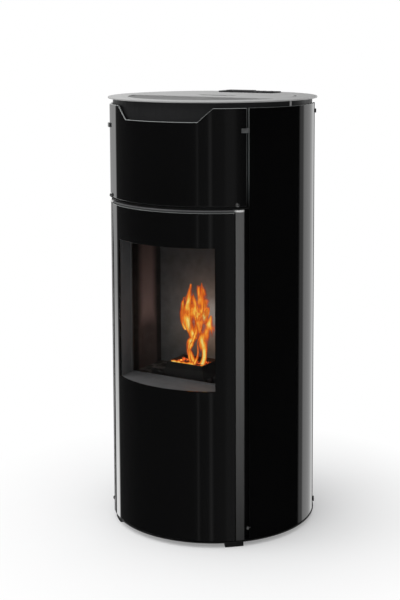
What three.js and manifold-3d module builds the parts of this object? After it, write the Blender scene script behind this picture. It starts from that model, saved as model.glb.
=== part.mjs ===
// A round, free-standing pellet stove: a glass-clad drum with a curved glass door,
// a flat ceramic window set deep in a steel recess, a steel disc on top with the
// hopper lid, and the firebox, feed screw, fans and ducts inside.
// Millimetres. The origin is on the drum's axis at floor level, +Z is up and the
// front faces -Y. Angles are degrees about the axis, 0 at the front and positive
// towards +X, which is the right-hand side of someone who faces the stove.
import * as THREE from 'three';
import { mergeVertices } from 'three/addons/utils/BufferGeometryUtils.js';
import Module from 'manifold-3d';

const wasm = await Module();
wasm.setup();

// ---------------------------------------------------------------- dimensions
const GAP = 0.3; // fitting clearance between pieces
const SLACK = 0.7; // clearance of a loose fit, such as a boss in its hole
const ARC_STEP = 4; // degrees per facet on large arcs
const ROUND_SIDES = 24; // facets of small round parts
const SHEET = 2; // sheet steel of ducts, hopper and covers

// base and top disc
const FRONT_RADIUS = 272.5; // outer face of the door glass and the upper glass
// how far each round piece lies inside the face of the door glass
const INSET = {
  base: 2.5, side: 4, shelf: 4.5, rear: 6.5, shell: 10.5, hinge: 11, channel: 20.5, post: 30.5,
};
const FOOT = { height: 12, depth: 40, halfAngle: 5.1, frontAngle: 41.9, rearAngle: 138, inset: 3 };
const BASE_RADIUS = FRONT_RADIUS - INSET.base;
const BASE_THICKNESS = 3;
const TOP_HEIGHT = 1125; // upper face of the steel disc
const TOP_OVERHANG = 2.5;
const TOP_RADIUS = FRONT_RADIUS + TOP_OVERHANG;
const TOP_THICKNESS = 4;
// how far each of these levels lies below the upper face of the disc
const BELOW_TOP = { panel: 17, clip: 72, hook: 39, lidAxis: 5, rim: 7.3, slope: 75, shoulder: 125 };

// glass cladding
const SIDE_RADIUS = FRONT_RADIUS - INSET.side; // outer face of the side panels
const GLASS = 5;
const PANEL_TOP = TOP_HEIGHT - BELOW_TOP.panel;
const PANEL_BOTTOM = 16;
const SIDE_START = 50.1;
const SIDE_END = 117;
const UPPER_HALF_ANGLE = 48.7;
const UPPER_BOTTOM = 867;
const NOTCH = { depth: 34, topHalf: 139.5, bottomHalf: 106 };

// studs, clips and rails that hold the cladding
const STUD_HEAD = 6;
const STUD_NECK = 2.5;
const UPPER_STUD = { angle: 43.3, height: 872 };
const SIDE_STUD = { angle: 49.4, height: 47 };
const CLIP = {
  height: TOP_HEIGHT - BELOW_TOP.clip, tall: 11, thickness: 4, start: 45.6, legStart: 49.05, legEnd: 49.75,
};
const RAIL = { thickness: 3, start: 112, end: 122, hookAngle: 117.3, hookLip: 1.5, hookWidth: 1.3 };
const RAIL_HOOKS = { heights: [31, TOP_HEIGHT - BELOW_TOP.hook], tall: 10, proud: 3.5 };

// rear cover
const REAR_RADIUS = FRONT_RADIUS - INSET.rear;
const REAR_START = 118.9;
const LOUVRE = { count: 6, pitch: 18, tall: 7, halfWidth: 90, banks: [330, 920] };

// inner frame and inner shell
const POST = { radius: FRONT_RADIUS - INSET.post, depth: 10, start: 44, end: 58 };
const SHELF = { height: 860, thickness: 3, radius: FRONT_RADIUS - INSET.shelf, halfAngle: 50, behindPost: 6 };
const CROSS_RAIL_TALL = 30;
const TAB = { halfAngle: 2.5, tall: 22, thickness: 2.5 };
const SHELL = { radius: FRONT_RADIUS - INSET.shell, thickness: 2.5, halfAngle: 46, collarTall: 16, seam: 4 };

// door
const DOOR_BOTTOM = 18;
const DOOR_TOP = 858;
const DOOR_HALF_ANGLE = 42.2;
const DOOR_GLASS_TOP = 851;
const SKIN = { thickness: 2.5, halfAngle: 41.9 };
const LIP = { thickness: 3, depth: 24, halfAngle: 41.6 };
const CHANNEL = {
  radius: FRONT_RADIUS - INSET.channel, thickness: 3, topGap: 2,
  start: 38, end: 47, webStart: 41, webEnd: 41.7,
};
const WINDOW = { half: 143, bottom: 404, top: 764 };
const RECESS_BACK = 179; // the pane's seat lies this far before the axis
const PANE = { lip: 3, thickness: 4, overlap: 7 };
const FLANGE_MARGIN = 22;
const RETAINER = { thickness: 2, margin: 20, cover: 2 };
const SEAL = { inner: 4, outer: 14 };

// columns at both edges of the door, the right one on the hinge axis
const HINGE = { angle: 44.9, radius: FRONT_RADIUS - INSET.hinge, pin: 4, reach: 22, collar: 9 };
const COLUMN = { start: 42.6, end: 47.2, depth: 20, top: 853, chamfer: 4 };
const BUSH_RADIUS = 13.5;

// firebox
const FIREBOX = { half: 146, front: 164, back: 32, floor: 400, roof: 764, lining: 8 };
const FRONT_PLATE = { thickness: 3, half: 158, margin: 15 };
const PEDESTAL = { half: 123, wall: 3, front: 158, runner: 107, runnerTall: 5, tieTall: 18 };
const ASH_SLOT = { inner: 66, outer: 116, front: 154, back: 110 };
const SMOKE_SLOT = { left: -116, right: -64, bottom: 736, top: 760 };

// burn pot
const POT = { half: 54, front: 145, back: 62, tall: 35.7, flare: 8, wall: 4, floor: 8 };
const POT_BOSS = { half: 30, front: 133, back: 73, tall: 6 };

// ash drawer
const DRAWER = { half: 112, front: 150, back: 36, bottom: 285, tall: 80, frontHalf: 117 };
const DRAWER_PULL = { half: 30, depth: 8, tall: 8, height: 322 };

// top disc openings, inset plate and lid
const WELL_RADIUS = 222; // radius of the lid and inset plate, before clearance
const WELL_BACK = 174;
const LEDGE = { width: 14, outside: 8, thickness: 3, ribFront: 62, ribBack: 46 };
const LID = { front: 54, back: 163.3, thickness: 3.7 };
// the lid's rear corners, taken back so that they clear the ring as it turns
const LID_CORNER = { half: 140, across: 16, along: 6.3 };
const INSET_THICKNESS = 1.5;
const FINGER_NOTCH = { from: 100, to: 128, width: 7.5 };
const HANDLE = { half: 54, centre: 25, depth: 26, cup: 12, wall: 2, bridgeHalf: 20 };
const LID_AXIS = { y: 167, z: TOP_HEIGHT - BELOW_TOP.lidAxis };
const LID_HINGE = { pin: 2.4, knuckle: 4, inner: 60, outer: 80, lugInner: 84, lugOuter: 100, room: 1.5 };
const SPACER = { radius: 2.5, angle: 77.6 };

// control console
const CONSOLE = { half: 86, front: 178, back: 224, tall: 4 };
const HOOD = { left: -72, right: 8, front: 196, tall: 1.5 };
const DISPLAY = { margin: 6, thickness: 1.2 };
const BUTTON = { radius: 6, tall: 2.8, row: 201, proud: 1.2, pocket: 3 };
const BUTTON_PLACES = { button_power: 26, button_down: 46, button_up: 66 };

// hopper, feed screw and chute
const HOPPER = {
  half: 150, front: -48, back: 158, belly: 185,
  rim: TOP_HEIGHT - BELOW_TOP.rim,
  slopeTop: TOP_HEIGHT - BELOW_TOP.slope,
  shoulder: TOP_HEIGHT - BELOW_TOP.shoulder,
  throatHalf: 60, throatFront: 150, throatTop: 500, floor: 450,
};
const AUGER_TUBE = { radius: 28, wall: 3, bottom: 430, top: 780, offset: 40 };
const SCREW = { shaft: 7, radius: 23, pitch: 44, thickness: 3, start: 10, end: 336, steps: 14 };
const FEED_OPENING = { low: 25, high: 85, half: 20 };
const DROP_OPENING = { low: 336, high: 360, half: 18 };
const GEARBOX = { half: 27, tall: 34, bore: 12 };
const GEAR_MOTOR = { radius: 21, tall: 32 };
const CHUTE = { half: 27.5, bottom: 734.5, top: 761.5, front: 40 };

// smoke duct, exhaust fan and flue
const DUCT = { left: -122, right: -58, back: 16, bottom: 96, top: 772 };
const FAN = { x: -90, z: 150, radius: 60, back: 78, wall: 3, inlet: 26, shaft: 4 };
const OUTLET_BOX = { right: 45, bottom: 88, top: 178 };
const IMPELLER = { radius: 48, hub: 24, blades: 10, front: 26, back: 68, blade: 2, shaftEnd: 92 };
const FAN_MOTOR = { radius: 36, length: 58, bore: 16 };
const FLUE = { x: 0, z: 133, radius: 40, wall: 3, end: 274 };
const AIR_INLET = { x: 112, z: 133, radius: 25, wall: 3, start: 60, end: 256 };

// room-air fan
const ROOM_FAN = { left: 70, right: 190, front: -10, back: 52, tall: 85, intakeMargin: 12 };
const ROTOR = {
  radius: 27, blades: 12, blade: 2, bladeInner: 19, bladeOuter: 26, shaft: 4, disc: 3, margin: 5,
};

// mains inlet with its rocker switch, turned about the axis onto the rear cover
const MAINS = { turn: 24, half: 32, bottom: 47, tall: 30, front: 240, proud: 1.5 };
const SOCKET = { x: -12, half: 14, tallHalf: 11, depth: 16 };
const ROCKER = { x: 20, half: 8, tallHalf: 10, behind: 5, ahead: 4, tilt: -8, pocket: 13 };

// ------------------------------------------------------------------- finishes
const BLACK_GLASS = { color: 0x0b0b0c, roughness: 0.06, metalness: 0 };
const BLACK_STEEL = { color: 0x171717, roughness: 0.55, metalness: 0.3 };
const GREY_STEEL = { color: 0x2c2c2c, roughness: 0.5, metalness: 0.4 };
const COLUMN_STEEL = { color: 0x4c4c4c, roughness: 0.4, metalness: 0.6 };
const SILVER_PAINT = { color: 0xc6c6c4, roughness: 0.35, metalness: 0.5 };
const INSET_PAINT = { color: 0x8f8f8e, roughness: 0.45, metalness: 0.4 };
const CHROME = { color: 0xd8d8d8, roughness: 0.12, metalness: 1 };
const CAST_IRON = { color: 0x222222, roughness: 0.8, metalness: 0.2 };
const FIRE_LINING = { color: 0x333231, roughness: 0.85, metalness: 0.1 };
const CLEAR_CERAMIC = { color: 0x5a4a3c, roughness: 0.05, metalness: 0 };
const SEAL_ROPE = { color: 0x2a2826, roughness: 0.95, metalness: 0 };
const ZINC = { color: 0x9b9c9a, roughness: 0.4, metalness: 0.8 };
const RUBBER = { color: 0x101010, roughness: 0.9, metalness: 0 };
const BLACK_PLASTIC = { color: 0x1c1c1d, roughness: 0.45, metalness: 0 };
const MOTOR_CASE = { color: 0x5d6062, roughness: 0.45, metalness: 0.7 };

// -------------------------------------------------------------- derived places
const radians = THREE.MathUtils.degToRad;
const BASE_TOP = FOOT.height + BASE_THICKNESS;
const DISC_BOTTOM = TOP_HEIGHT - TOP_THICKNESS;
const SHELF_TOP = SHELF.height + SHELF.thickness;
const REACH = 2 * TOP_RADIUS; // longer than any piece, for cutting tools
const FULL_CIRCLE = 360;
const RING_SIDES = FULL_CIRCLE / ARC_STEP; // facets of large rings, in step with the arcs
const HOPPER_SLOPE = (HOPPER.throatFront - HOPPER.front) / (HOPPER.slopeTop - HOPPER.throatTop);
const AUGER_TILT = THREE.MathUtils.radToDeg(Math.atan(HOPPER_SLOPE));
const AUGER_LENGTH = (AUGER_TUBE.top - AUGER_TUBE.bottom) / Math.cos(radians(AUGER_TILT));
const AUGER_FOOT = {
  y: HOPPER.front + HOPPER_SLOPE * (HOPPER.slopeTop - AUGER_TUBE.bottom) - AUGER_TUBE.offset,
  z: AUGER_TUBE.bottom,
};
const FAN_FRONT = DUCT.back + GAP;

// -------------------------------------------------------------- shape helpers
/** A point on a circle about the drum's axis. */
function onCircle(radius, degrees) {
  const angle = radians(degrees);
  return new THREE.Vector2(radius * Math.sin(angle), -radius * Math.cos(angle));
}

/** Points along an arc about the drum's axis, both ends included. */
function arcPoints(radius, from, to) {
  const steps = Math.max(1, Math.ceil(Math.abs(to - from) / ARC_STEP));
  return Array.from({ length: steps + 1 }, (_, i) => onCircle(radius, from + ((to - from) * i) / steps));
}

/** A flat outline in X and Y, extruded upwards from z = 0. */
function upright(points, height) {
  return new THREE.ExtrudeGeometry(new THREE.Shape(points), { depth: height, bevelEnabled: false });
}

/** An outline in X and Z, extruded from y = 0 towards +Y. */
function backwards(points, depth) {
  return upright(points, depth).rotateX(Math.PI / 2).translate(0, depth, 0);
}

/** A curved plate about the drum's axis, standing on z = 0. */
function curvedPlate(outer, thickness, from, to, height) {
  return upright([...arcPoints(outer, from, to), ...arcPoints(outer - thickness, to, from)], height);
}

/** A block between two corners. */
function block(x0, x1, y0, y1, z0, z1) {
  const geometry = new THREE.BoxGeometry(x1 - x0, y1 - y0, z1 - z0);
  return geometry.translate((x0 + x1) / 2, (y0 + y1) / 2, (z0 + z1) / 2);
}

/** A round bar that stands on z = 0. */
function bar(radius, height, sides = ROUND_SIDES) {
  return new THREE.CylinderGeometry(radius, radius, height, sides)
    .rotateX(Math.PI / 2)
    .translate(0, 0, height / 2);
}

/** A round bar along +Y that starts at y = 0. */
function barBack(radius, length) {
  return bar(radius, length).rotateX(-Math.PI / 2);
}

/** A round bar along X between two ends. */
function barAcross(radius, from, to) {
  return bar(radius, to - from).rotateY(Math.PI / 2).translate(from, 0, 0);
}

/** A tube along +Y that starts at y = 0. */
function pipeBack(radius, wall, length) {
  return cut(barBack(radius, length), barBack(radius - wall, length + 2).translate(0, -1, 0));
}

/** A closed body through rectangles, each given as z, its half width and its span in y. */
function loft(sections) {
  const corners = sections.flatMap(({ z, half, front, back }) => [
    -half, front, z, half, front, z, half, back, z, -half, back, z,
  ]);
  const faces = [2, 1, 0, 3, 2, 0];
  sections.slice(1).forEach((_, level) => {
    for (let side = 0; side < 4; side += 1) {
      const a = level * 4 + side;
      const b = level * 4 + ((side + 1) % 4);
      faces.push(a, b, b + 4, a, b + 4, a + 4);
    }
  });
  const top = (sections.length - 1) * 4;
  faces.push(top, top + 1, top + 2, top, top + 2, top + 3);
  const geometry = new THREE.BufferGeometry();
  geometry.setAttribute('position', new THREE.Float32BufferAttribute(corners, 3));
  geometry.setIndex(faces);
  return geometry;
}

function solid(geometry) {
  const bare = geometry.clone();
  bare.deleteAttribute('normal');
  bare.deleteAttribute('uv');
  const merged = mergeVertices(bare, 1e-4);
  return new wasm.Manifold(new wasm.Mesh({
    numProp: 3,
    vertProperties: merged.attributes.position.array,
    triVerts: new Uint32Array(merged.index.array),
  }));
}

function fromSolid(body) {
  const mesh = body.getMesh();
  const geometry = new THREE.BufferGeometry();
  geometry.setAttribute('position', new THREE.BufferAttribute(mesh.vertProperties, 3));
  geometry.setIndex(new THREE.BufferAttribute(mesh.triVerts, 1));
  geometry.computeVertexNormals();
  return geometry;
}

function join(...geometries) {
  return fromSolid(geometries.map(solid).reduce((whole, next) => whole.add(next)));
}

function cut(geometry, ...tools) {
  return fromSolid(tools.map(solid).reduce((whole, tool) => whole.subtract(tool), solid(geometry)));
}

function common(first, second) {
  return fromSolid(solid(first).intersect(solid(second)));
}

/** Puts a named piece into a group, at a place and a turn about the vertical. */
function piece(group, name, geometry, finish, place = {}) {
  const mesh = new THREE.Mesh(geometry, new THREE.MeshStandardMaterial(finish));
  mesh.name = name;
  mesh.position.set(place.x ?? 0, place.y ?? 0, place.z ?? 0);
  mesh.rotation.set(radians(place.tilt ?? 0), 0, radians(place.turn ?? 0));
  group.add(mesh);
}

/** The window's opening in X and Z, grown outwards by a margin. */
function opening(margin) {
  return { half: WINDOW.half + margin, bottom: WINDOW.bottom - margin, top: WINDOW.top + margin };
}

/** A block with the outline of an opening. */
function openingBlock({ half, bottom, top }, y0, y1) {
  return block(-half, half, y0, y1, bottom, top);
}

/** A rectangular ring that faces -Y, between two openings. */
function openingRing(outer, inner, y0, y1) {
  return cut(openingBlock(outer, y0, y1), openingBlock(inner, y0 - 1, y1 + 1));
}

/** Calls a maker for the left side, sign -1, and for the right side, sign 1. */
function bothSides(make) {
  make('left', -1);
  make('right', 1);
}

/** An angular span, mirrored to the left side where the sign is -1. */
function span(sign, from, to) {
  return sign > 0 ? [from, to] : [-to, -from];
}

/** Two distances from the middle, as a rising pair on the left or the right. */
function ends(sign, near, far) {
  return sign > 0 ? [near, far] : [-far, -near];
}

/** A point of the hinge axis, or its mirror image on the left. */
function hingePoint(sign) {
  return onCircle(HINGE.radius, sign * HINGE.angle);
}

// --------------------------------------------------------------- base and feet
function addBase(group) {
  const plate = bar(BASE_RADIUS, BASE_THICKNESS, RING_SIDES);
  const { x, y } = hingePoint(1);
  const low = BASE_THICKNESS - 1;
  const collar = bar(HINGE.collar, DOOR_BOTTOM - BASE_TOP + 1 - GAP).translate(x, y, low);
  const pin = bar(HINGE.pin, HINGE.reach).translate(x, y, low);
  const intake = fanIntake(-1, BASE_THICKNESS + 1);
  piece(group, 'base_plate', cut(join(plate, collar, pin), intake), BLACK_STEEL, { z: FOOT.height });

  const feet = {
    foot_front_left: -FOOT.frontAngle,
    foot_front_right: FOOT.frontAngle,
    foot_rear_left: -FOOT.rearAngle,
    foot_rear_right: FOOT.rearAngle,
  };
  Object.entries(feet).forEach(([name, turn]) => {
    const pad = curvedPlate(
      BASE_RADIUS - FOOT.inset, FOOT.depth, -FOOT.halfAngle, FOOT.halfAngle, FOOT.height,
    );
    piece(group, name, pad, RUBBER, { turn });
  });
}

// ----------------------------------------------- inner frame and its steel shell
function addInnerFrame(group) {
  const parts = [];
  bothSides((side, sign) => {
    const [from, to] = span(sign, POST.start, POST.end);
    const post = curvedPlate(POST.radius, POST.depth, from, to, DISC_BOTTOM - BASE_TOP);
    const tabRadius = SHELL.radius - SHELL.thickness - GAP;
    const tab = curvedPlate(tabRadius, TAB.thickness, -TAB.halfAngle, TAB.halfAngle, TAB.tall)
      .rotateZ(radians(sign * UPPER_STUD.angle));
    parts.push(post.translate(0, 0, BASE_TOP), tab.translate(0, 0, SHELF_TOP - 1));
  });
  const depth = SHELF.radius - POST.radius + POST.depth + SHELF.behindPost;
  const shelf = curvedPlate(SHELF.radius, depth, -SHELF.halfAngle, SHELF.halfAngle, SHELF.thickness);
  parts.push(shelf.translate(0, 0, SHELF.height));
  const crossRail = curvedPlate(POST.radius, POST.depth, -POST.start - 1, POST.start + 1, CROSS_RAIL_TALL);
  parts.push(crossRail.translate(0, 0, BASE_TOP));
  const { x, y } = hingePoint(1);
  parts.push(bar(HINGE.pin, HINGE.reach + 1).translate(x, y, SHELF.height - HINGE.reach));
  piece(group, 'front_frame', join(...parts), BLACK_STEEL);

  const tall = DISC_BOTTOM - SHELF_TOP;
  const wall = curvedPlate(SHELL.radius, SHELL.thickness, -SHELL.halfAngle, SHELL.halfAngle, tall);
  const seam = SHELL.halfAngle - SHELL.seam;
  const ring = curvedPlate(SHELL.radius, SHELL.thickness, seam, FULL_CIRCLE - seam, SHELL.collarTall);
  const holes = [-1, 1].map((sign) => barBack(STUD_NECK + SLACK, REACH)
    .translate(0, -REACH, UPPER_STUD.height - SHELF_TOP)
    .rotateZ(radians(sign * UPPER_STUD.angle)));
  const shell = cut(join(wall, ring.translate(0, 0, tall - SHELL.collarTall)), ...holes);
  piece(group, 'inner_shell', shell, GREY_STEEL, { z: SHELF_TOP });
}

// ------------------------------------------------------------- glass cladding
function addCladding(group) {
  const tall = PANEL_TOP - UPPER_BOTTOM;
  const pane = curvedPlate(FRONT_RADIUS, GLASS, -UPPER_HALF_ANGLE, UPPER_HALF_ANGLE, tall);
  const notch = backwards([
    new THREE.Vector2(-NOTCH.bottomHalf, tall - NOTCH.depth),
    new THREE.Vector2(NOTCH.bottomHalf, tall - NOTCH.depth),
    new THREE.Vector2(NOTCH.topHalf, tall),
    new THREE.Vector2(NOTCH.topHalf, tall + 1),
    new THREE.Vector2(-NOTCH.topHalf, tall + 1),
    new THREE.Vector2(-NOTCH.topHalf, tall),
  ], REACH).translate(0, -REACH, 0);
  const slotHalf = STUD_NECK + SLACK;
  const slots = [-1, 1].map((sign) => (
    block(-slotHalf, slotHalf, -REACH, 0, -1, UPPER_STUD.height - UPPER_BOTTOM + slotHalf)
      .rotateZ(radians(sign * UPPER_STUD.angle))
  ));
  piece(group, 'upper_glass_panel', cut(pane, notch, ...slots), BLACK_GLASS, { z: UPPER_BOTTOM });

  bothSides((side, sign) => {
    const [from, to] = span(sign, SIDE_START, SIDE_END);
    const panel = curvedPlate(SIDE_RADIUS, GLASS, from, to, PANEL_TOP - PANEL_BOTTOM);
    piece(group, `side_panel_${side}`, panel, BLACK_GLASS, { z: PANEL_BOTTOM });

    const upperRoot = SHELL.radius - SHELL.thickness;
    piece(group, `upper_stud_${side}`, stud(upperRoot, FRONT_RADIUS + GAP), CHROME, {
      z: UPPER_STUD.height,
      turn: sign * UPPER_STUD.angle,
    });
    piece(group, `side_stud_${side}`, stud(POST.radius + GAP, SIDE_RADIUS + GAP), CHROME, {
      z: SIDE_STUD.height,
      turn: sign * SIDE_STUD.angle,
    });
    piece(group, `upper_clip_${side}`, upperClip(sign), ZINC, { z: CLIP.height - CLIP.tall / 2 });
    piece(group, `panel_rail_${side}`, panelRail(sign), BLACK_STEEL, { z: BASE_TOP + GAP });
  });
}

/** A stud that points to the front: its neck starts at one radius, its round head sits at another. */
function stud(root, seat) {
  const neck = barBack(STUD_NECK, seat - root + 1).translate(0, -seat - 1, 0);
  const steps = 5;
  const profile = [new THREE.Vector2(0, 0)];
  for (let i = 0; i <= steps; i += 1) {
    const angle = (Math.PI / 2) * (i / steps);
    profile.push(new THREE.Vector2(STUD_HEAD * Math.cos(angle), STUD_HEAD * Math.sin(angle)));
  }
  profile[profile.length - 1].x = 0;
  const dome = new THREE.LatheGeometry(profile, ROUND_SIDES).rotateZ(Math.PI).translate(0, -seat, 0);
  return join(neck, dome);
}

/** A clip over the edge of the upper glass, with its leg in the joint beside it. */
function upperClip(sign) {
  const seat = FRONT_RADIUS + GAP;
  const [from, to] = span(sign, CLIP.start, CLIP.legEnd);
  const [legFrom, legTo] = span(sign, CLIP.legStart, CLIP.legEnd);
  const face = curvedPlate(seat + CLIP.thickness, CLIP.thickness, from, to, CLIP.tall);
  const leg = curvedPlate(seat + 1, seat + 1 - POST.radius - GAP, legFrom, legTo, CLIP.tall);
  return join(face, leg);
}

/** The upright behind a side panel's rear edge, with two hooks that grip the glass. */
function panelRail(sign) {
  const radius = SIDE_RADIUS - GLASS - GAP;
  const tall = DISC_BOTTOM - SHELL.collarTall - GAP - (BASE_TOP + GAP);
  const [from, to] = span(sign, RAIL.start, RAIL.end);
  const parts = [curvedPlate(radius, RAIL.thickness, from, to, tall)];
  RAIL_HOOKS.heights.forEach((height) => {
    const low = height - RAIL_HOOKS.tall / 2 - BASE_TOP - GAP;
    const outer = SIDE_RADIUS + GAP + RAIL_HOOKS.proud;
    const [legFrom, legTo] = span(sign, RAIL.hookAngle, RAIL.hookAngle + RAIL.hookWidth);
    const [lipFrom, lipTo] = span(sign, RAIL.hookAngle - RAIL.hookLip, RAIL.hookAngle + RAIL.hookWidth);
    const leg = curvedPlate(outer, outer - radius + 1, legFrom, legTo, RAIL_HOOKS.tall);
    const lip = curvedPlate(outer, RAIL_HOOKS.proud, lipFrom, lipTo, RAIL_HOOKS.tall);
    parts.push(leg.translate(0, 0, low), lip.translate(0, 0, low));
  });
  return join(...parts);
}

// ---------------------------------------------------------------- rear cover
function addRearCover(group) {
  const low = BASE_TOP + GAP;
  const top = DISC_BOTTOM - SHELL.collarTall - GAP;
  const shell = curvedPlate(REAR_RADIUS, SHEET, REAR_START, FULL_CIRCLE - REAR_START, top - low);
  const tools = [
    barBack(FLUE.radius + SLACK, REACH).translate(FLUE.x, 0, FLUE.z - low),
    barBack(AIR_INLET.radius + SLACK, REACH).translate(AIR_INLET.x, 0, AIR_INLET.z - low),
    block(
      -MAINS.half - GAP, MAINS.half + GAP, 0, REACH,
      MAINS.bottom - low - GAP, MAINS.bottom + MAINS.tall - low + GAP,
    ).rotateZ(radians(MAINS.turn)),
  ];
  LOUVRE.banks.forEach((bank) => {
    for (let i = 0; i < LOUVRE.count; i += 1) {
      const z = bank + i * LOUVRE.pitch - low;
      tools.push(block(-LOUVRE.halfWidth, LOUVRE.halfWidth, 0, REACH, z, z + LOUVRE.tall));
    }
  });
  piece(group, 'rear_cover', cut(shell, ...tools), BLACK_STEEL, { z: low });
}

// -------------------------------------------------------- top disc and console
/** The round well of the top disc, cut off square at the back. */
function wellOutline(radius, front, back, height) {
  const disc = bar(radius, height, RING_SIDES);
  return common(disc, block(-REACH, REACH, front, back, -1, height + 1));
}

function fingerNotch(height) {
  const { from, to, width } = FINGER_NOTCH;
  return curvedPlate(WELL_RADIUS + GAP, width, from, to, height);
}

function addTop(group) {
  const disc = bar(TOP_RADIUS, TOP_THICKNESS, RING_SIDES);
  const well = wellOutline(WELL_RADIUS + GAP, -REACH, WELL_BACK, TOP_THICKNESS + 2).translate(0, 0, -1);
  const ledge = cut(
    bar(WELL_RADIUS + LEDGE.outside, LEDGE.thickness + 0.5, RING_SIDES),
    bar(WELL_RADIUS - LEDGE.width, 3 * LEDGE.thickness, RING_SIDES).translate(0, 0, -1),
    bar(WELL_RADIUS + GAP, LEDGE.thickness, RING_SIDES).translate(0, 0, LEDGE.thickness),
  ).translate(0, 0, -LEDGE.thickness);
  const ribWidth = WELL_RADIUS - LEDGE.width / 2;
  const rib = block(-ribWidth, ribWidth, -LEDGE.ribFront, -LEDGE.ribBack, -LEDGE.thickness, 0);
  const spacers = [-1, 1].map((sign) => {
    const { x, y } = onCircle(SIDE_RADIUS - GLASS / 2, sign * SPACER.angle);
    const tall = DISC_BOTTOM - PANEL_TOP - GAP;
    return bar(SPACER.radius, tall + 1, 12).translate(x, y, -tall);
  });
  const axisHeight = LID_AXIS.z - DISC_BOTTOM;
  const lugs = [-1, 1].map((sign) => {
    const [from, to] = ends(sign, LID_HINGE.lugInner, LID_HINGE.lugOuter);
    const eye = barAcross(LID_HINGE.knuckle, from, to).translate(0, LID_AXIS.y, axisHeight);
    return join(eye, block(from, to, LID_AXIS.y, WELL_BACK + 2, axisHeight, TOP_THICKNESS - 1));
  });
  const bore = barAcross(LID_HINGE.pin + GAP, -LID_HINGE.lugOuter - 1, LID_HINGE.lugOuter + 1)
    .translate(0, LID_AXIS.y, axisHeight);
  const plate = join(cut(disc, well), ledge, rib, ...spacers, ...lugs);
  const notch = fingerNotch(LEDGE.thickness + 1).translate(0, 0, -LEDGE.thickness - 0.5);
  piece(group, 'top_plate', cut(plate, bore, notch), SILVER_PAINT, { z: DISC_BOTTOM });

  const inset = wellOutline(WELL_RADIUS, -REACH, -LID.front - LEDGE.thickness + GAP, INSET_THICKNESS);
  piece(group, 'top_inset_plate', inset, INSET_PAINT, { z: DISC_BOTTOM });

  const pin = barAcross(LID_HINGE.pin, -LID_HINGE.lugOuter, LID_HINGE.lugOuter);
  piece(group, 'lid_hinge_pin', pin, ZINC, { y: LID_AXIS.y, z: LID_AXIS.z });
}

function addConsole(group) {
  const top = CONSOLE.tall + HOOD.tall;
  const base = block(-CONSOLE.half, CONSOLE.half, CONSOLE.front, CONSOLE.back, 0, CONSOLE.tall);
  const hood = block(HOOD.left, HOOD.right, HOOD.front, CONSOLE.back, CONSOLE.tall - 1, top);
  const display = {
    x0: HOOD.left + DISPLAY.margin,
    x1: HOOD.right - DISPLAY.margin,
    y0: HOOD.front + DISPLAY.margin,
    y1: CONSOLE.back - DISPLAY.margin,
  };
  const window = block(
    display.x0 - GAP, display.x1 + GAP, display.y0 - GAP, display.y1 + GAP,
    top - DISPLAY.thickness, top + 1,
  );
  const pockets = Object.values(BUTTON_PLACES).map((x) => (
    bar(BUTTON.radius + GAP, BUTTON.pocket + 1).translate(x, BUTTON.row, CONSOLE.tall - BUTTON.pocket)
  ));
  const desk = cut(join(base, hood), window, ...pockets);
  piece(group, 'control_console', desk, BLACK_PLASTIC, { z: TOP_HEIGHT });

  const lens = block(display.x0, display.x1, display.y0, display.y1, 0, DISPLAY.thickness);
  piece(group, 'display_window', lens, BLACK_GLASS, { z: TOP_HEIGHT + top - DISPLAY.thickness });
  Object.entries(BUTTON_PLACES).forEach(([name, x]) => {
    piece(group, name, bar(BUTTON.radius, BUTTON.tall), GREY_STEEL, {
      x, y: BUTTON.row, z: TOP_HEIGHT + CONSOLE.tall + BUTTON.proud - BUTTON.tall,
    });
  });
}

function addLid(group) {
  const low = TOP_HEIGHT - LID.thickness;
  const axisHeight = LID_AXIS.z - low;
  const slab = wellOutline(WELL_RADIUS - SLACK, -LID.front, LID.back, LID.thickness);
  const slotFront = HANDLE.centre - HANDLE.depth / 2;
  const slotBack = HANDLE.centre + HANDLE.depth / 2;
  const slot = block(-HANDLE.half, HANDLE.half, slotFront, slotBack, -1, LID.thickness + 1);
  const knuckles = [];
  const rooms = [];
  [-1, 1].forEach((sign) => {
    const eye = ends(sign, LID_HINGE.inner, LID_HINGE.outer);
    knuckles.push(barAcross(LID_HINGE.knuckle, ...eye).translate(0, LID_AXIS.y, axisHeight));
    knuckles.push(block(...eye, HOPPER.back, LID_AXIS.y, axisHeight - LID_HINGE.room, LID.thickness / 2));
    const lug = ends(sign, LID_HINGE.lugInner - LID_HINGE.room, LID_HINGE.lugOuter + LID_HINGE.room);
    rooms.push(block(...lug, LID_AXIS.y - 2 * LID_HINGE.knuckle - 1, LID_AXIS.y, -1, LID.thickness + 1));
    rooms.push(lidCorner(sign));
  });
  const bore = barAcross(LID_HINGE.pin + GAP, -LID_HINGE.lugOuter, LID_HINGE.lugOuter)
    .translate(0, LID_AXIS.y, axisHeight);
  const notch = fingerNotch(LID.thickness + 2).translate(0, 0, -1);
  const lid = cut(join(slab, ...knuckles), slot, bore, notch, ...rooms);
  piece(group, 'hopper_lid', lid, SILVER_PAINT, { z: low });

  const { half, wall, cup, bridgeHalf } = HANDLE;
  const tray = block(-half - wall, half + wall, slotFront - wall, slotBack + wall, 0, cup);
  const hollow = block(-half, half, slotFront, slotBack, wall, cup + 1);
  const bridge = block(-bridgeHalf, bridgeHalf, slotFront - 1, slotBack + 1, cup / 2, cup);
  const grip = block(
    -bridgeHalf, bridgeHalf, slotFront + GAP, slotBack - GAP, cup - 1, cup + LID.thickness - GAP,
  );
  piece(group, 'lid_handle', join(cut(tray, hollow), bridge, grip), BLACK_STEEL, { z: low - GAP - cup });
}

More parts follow.
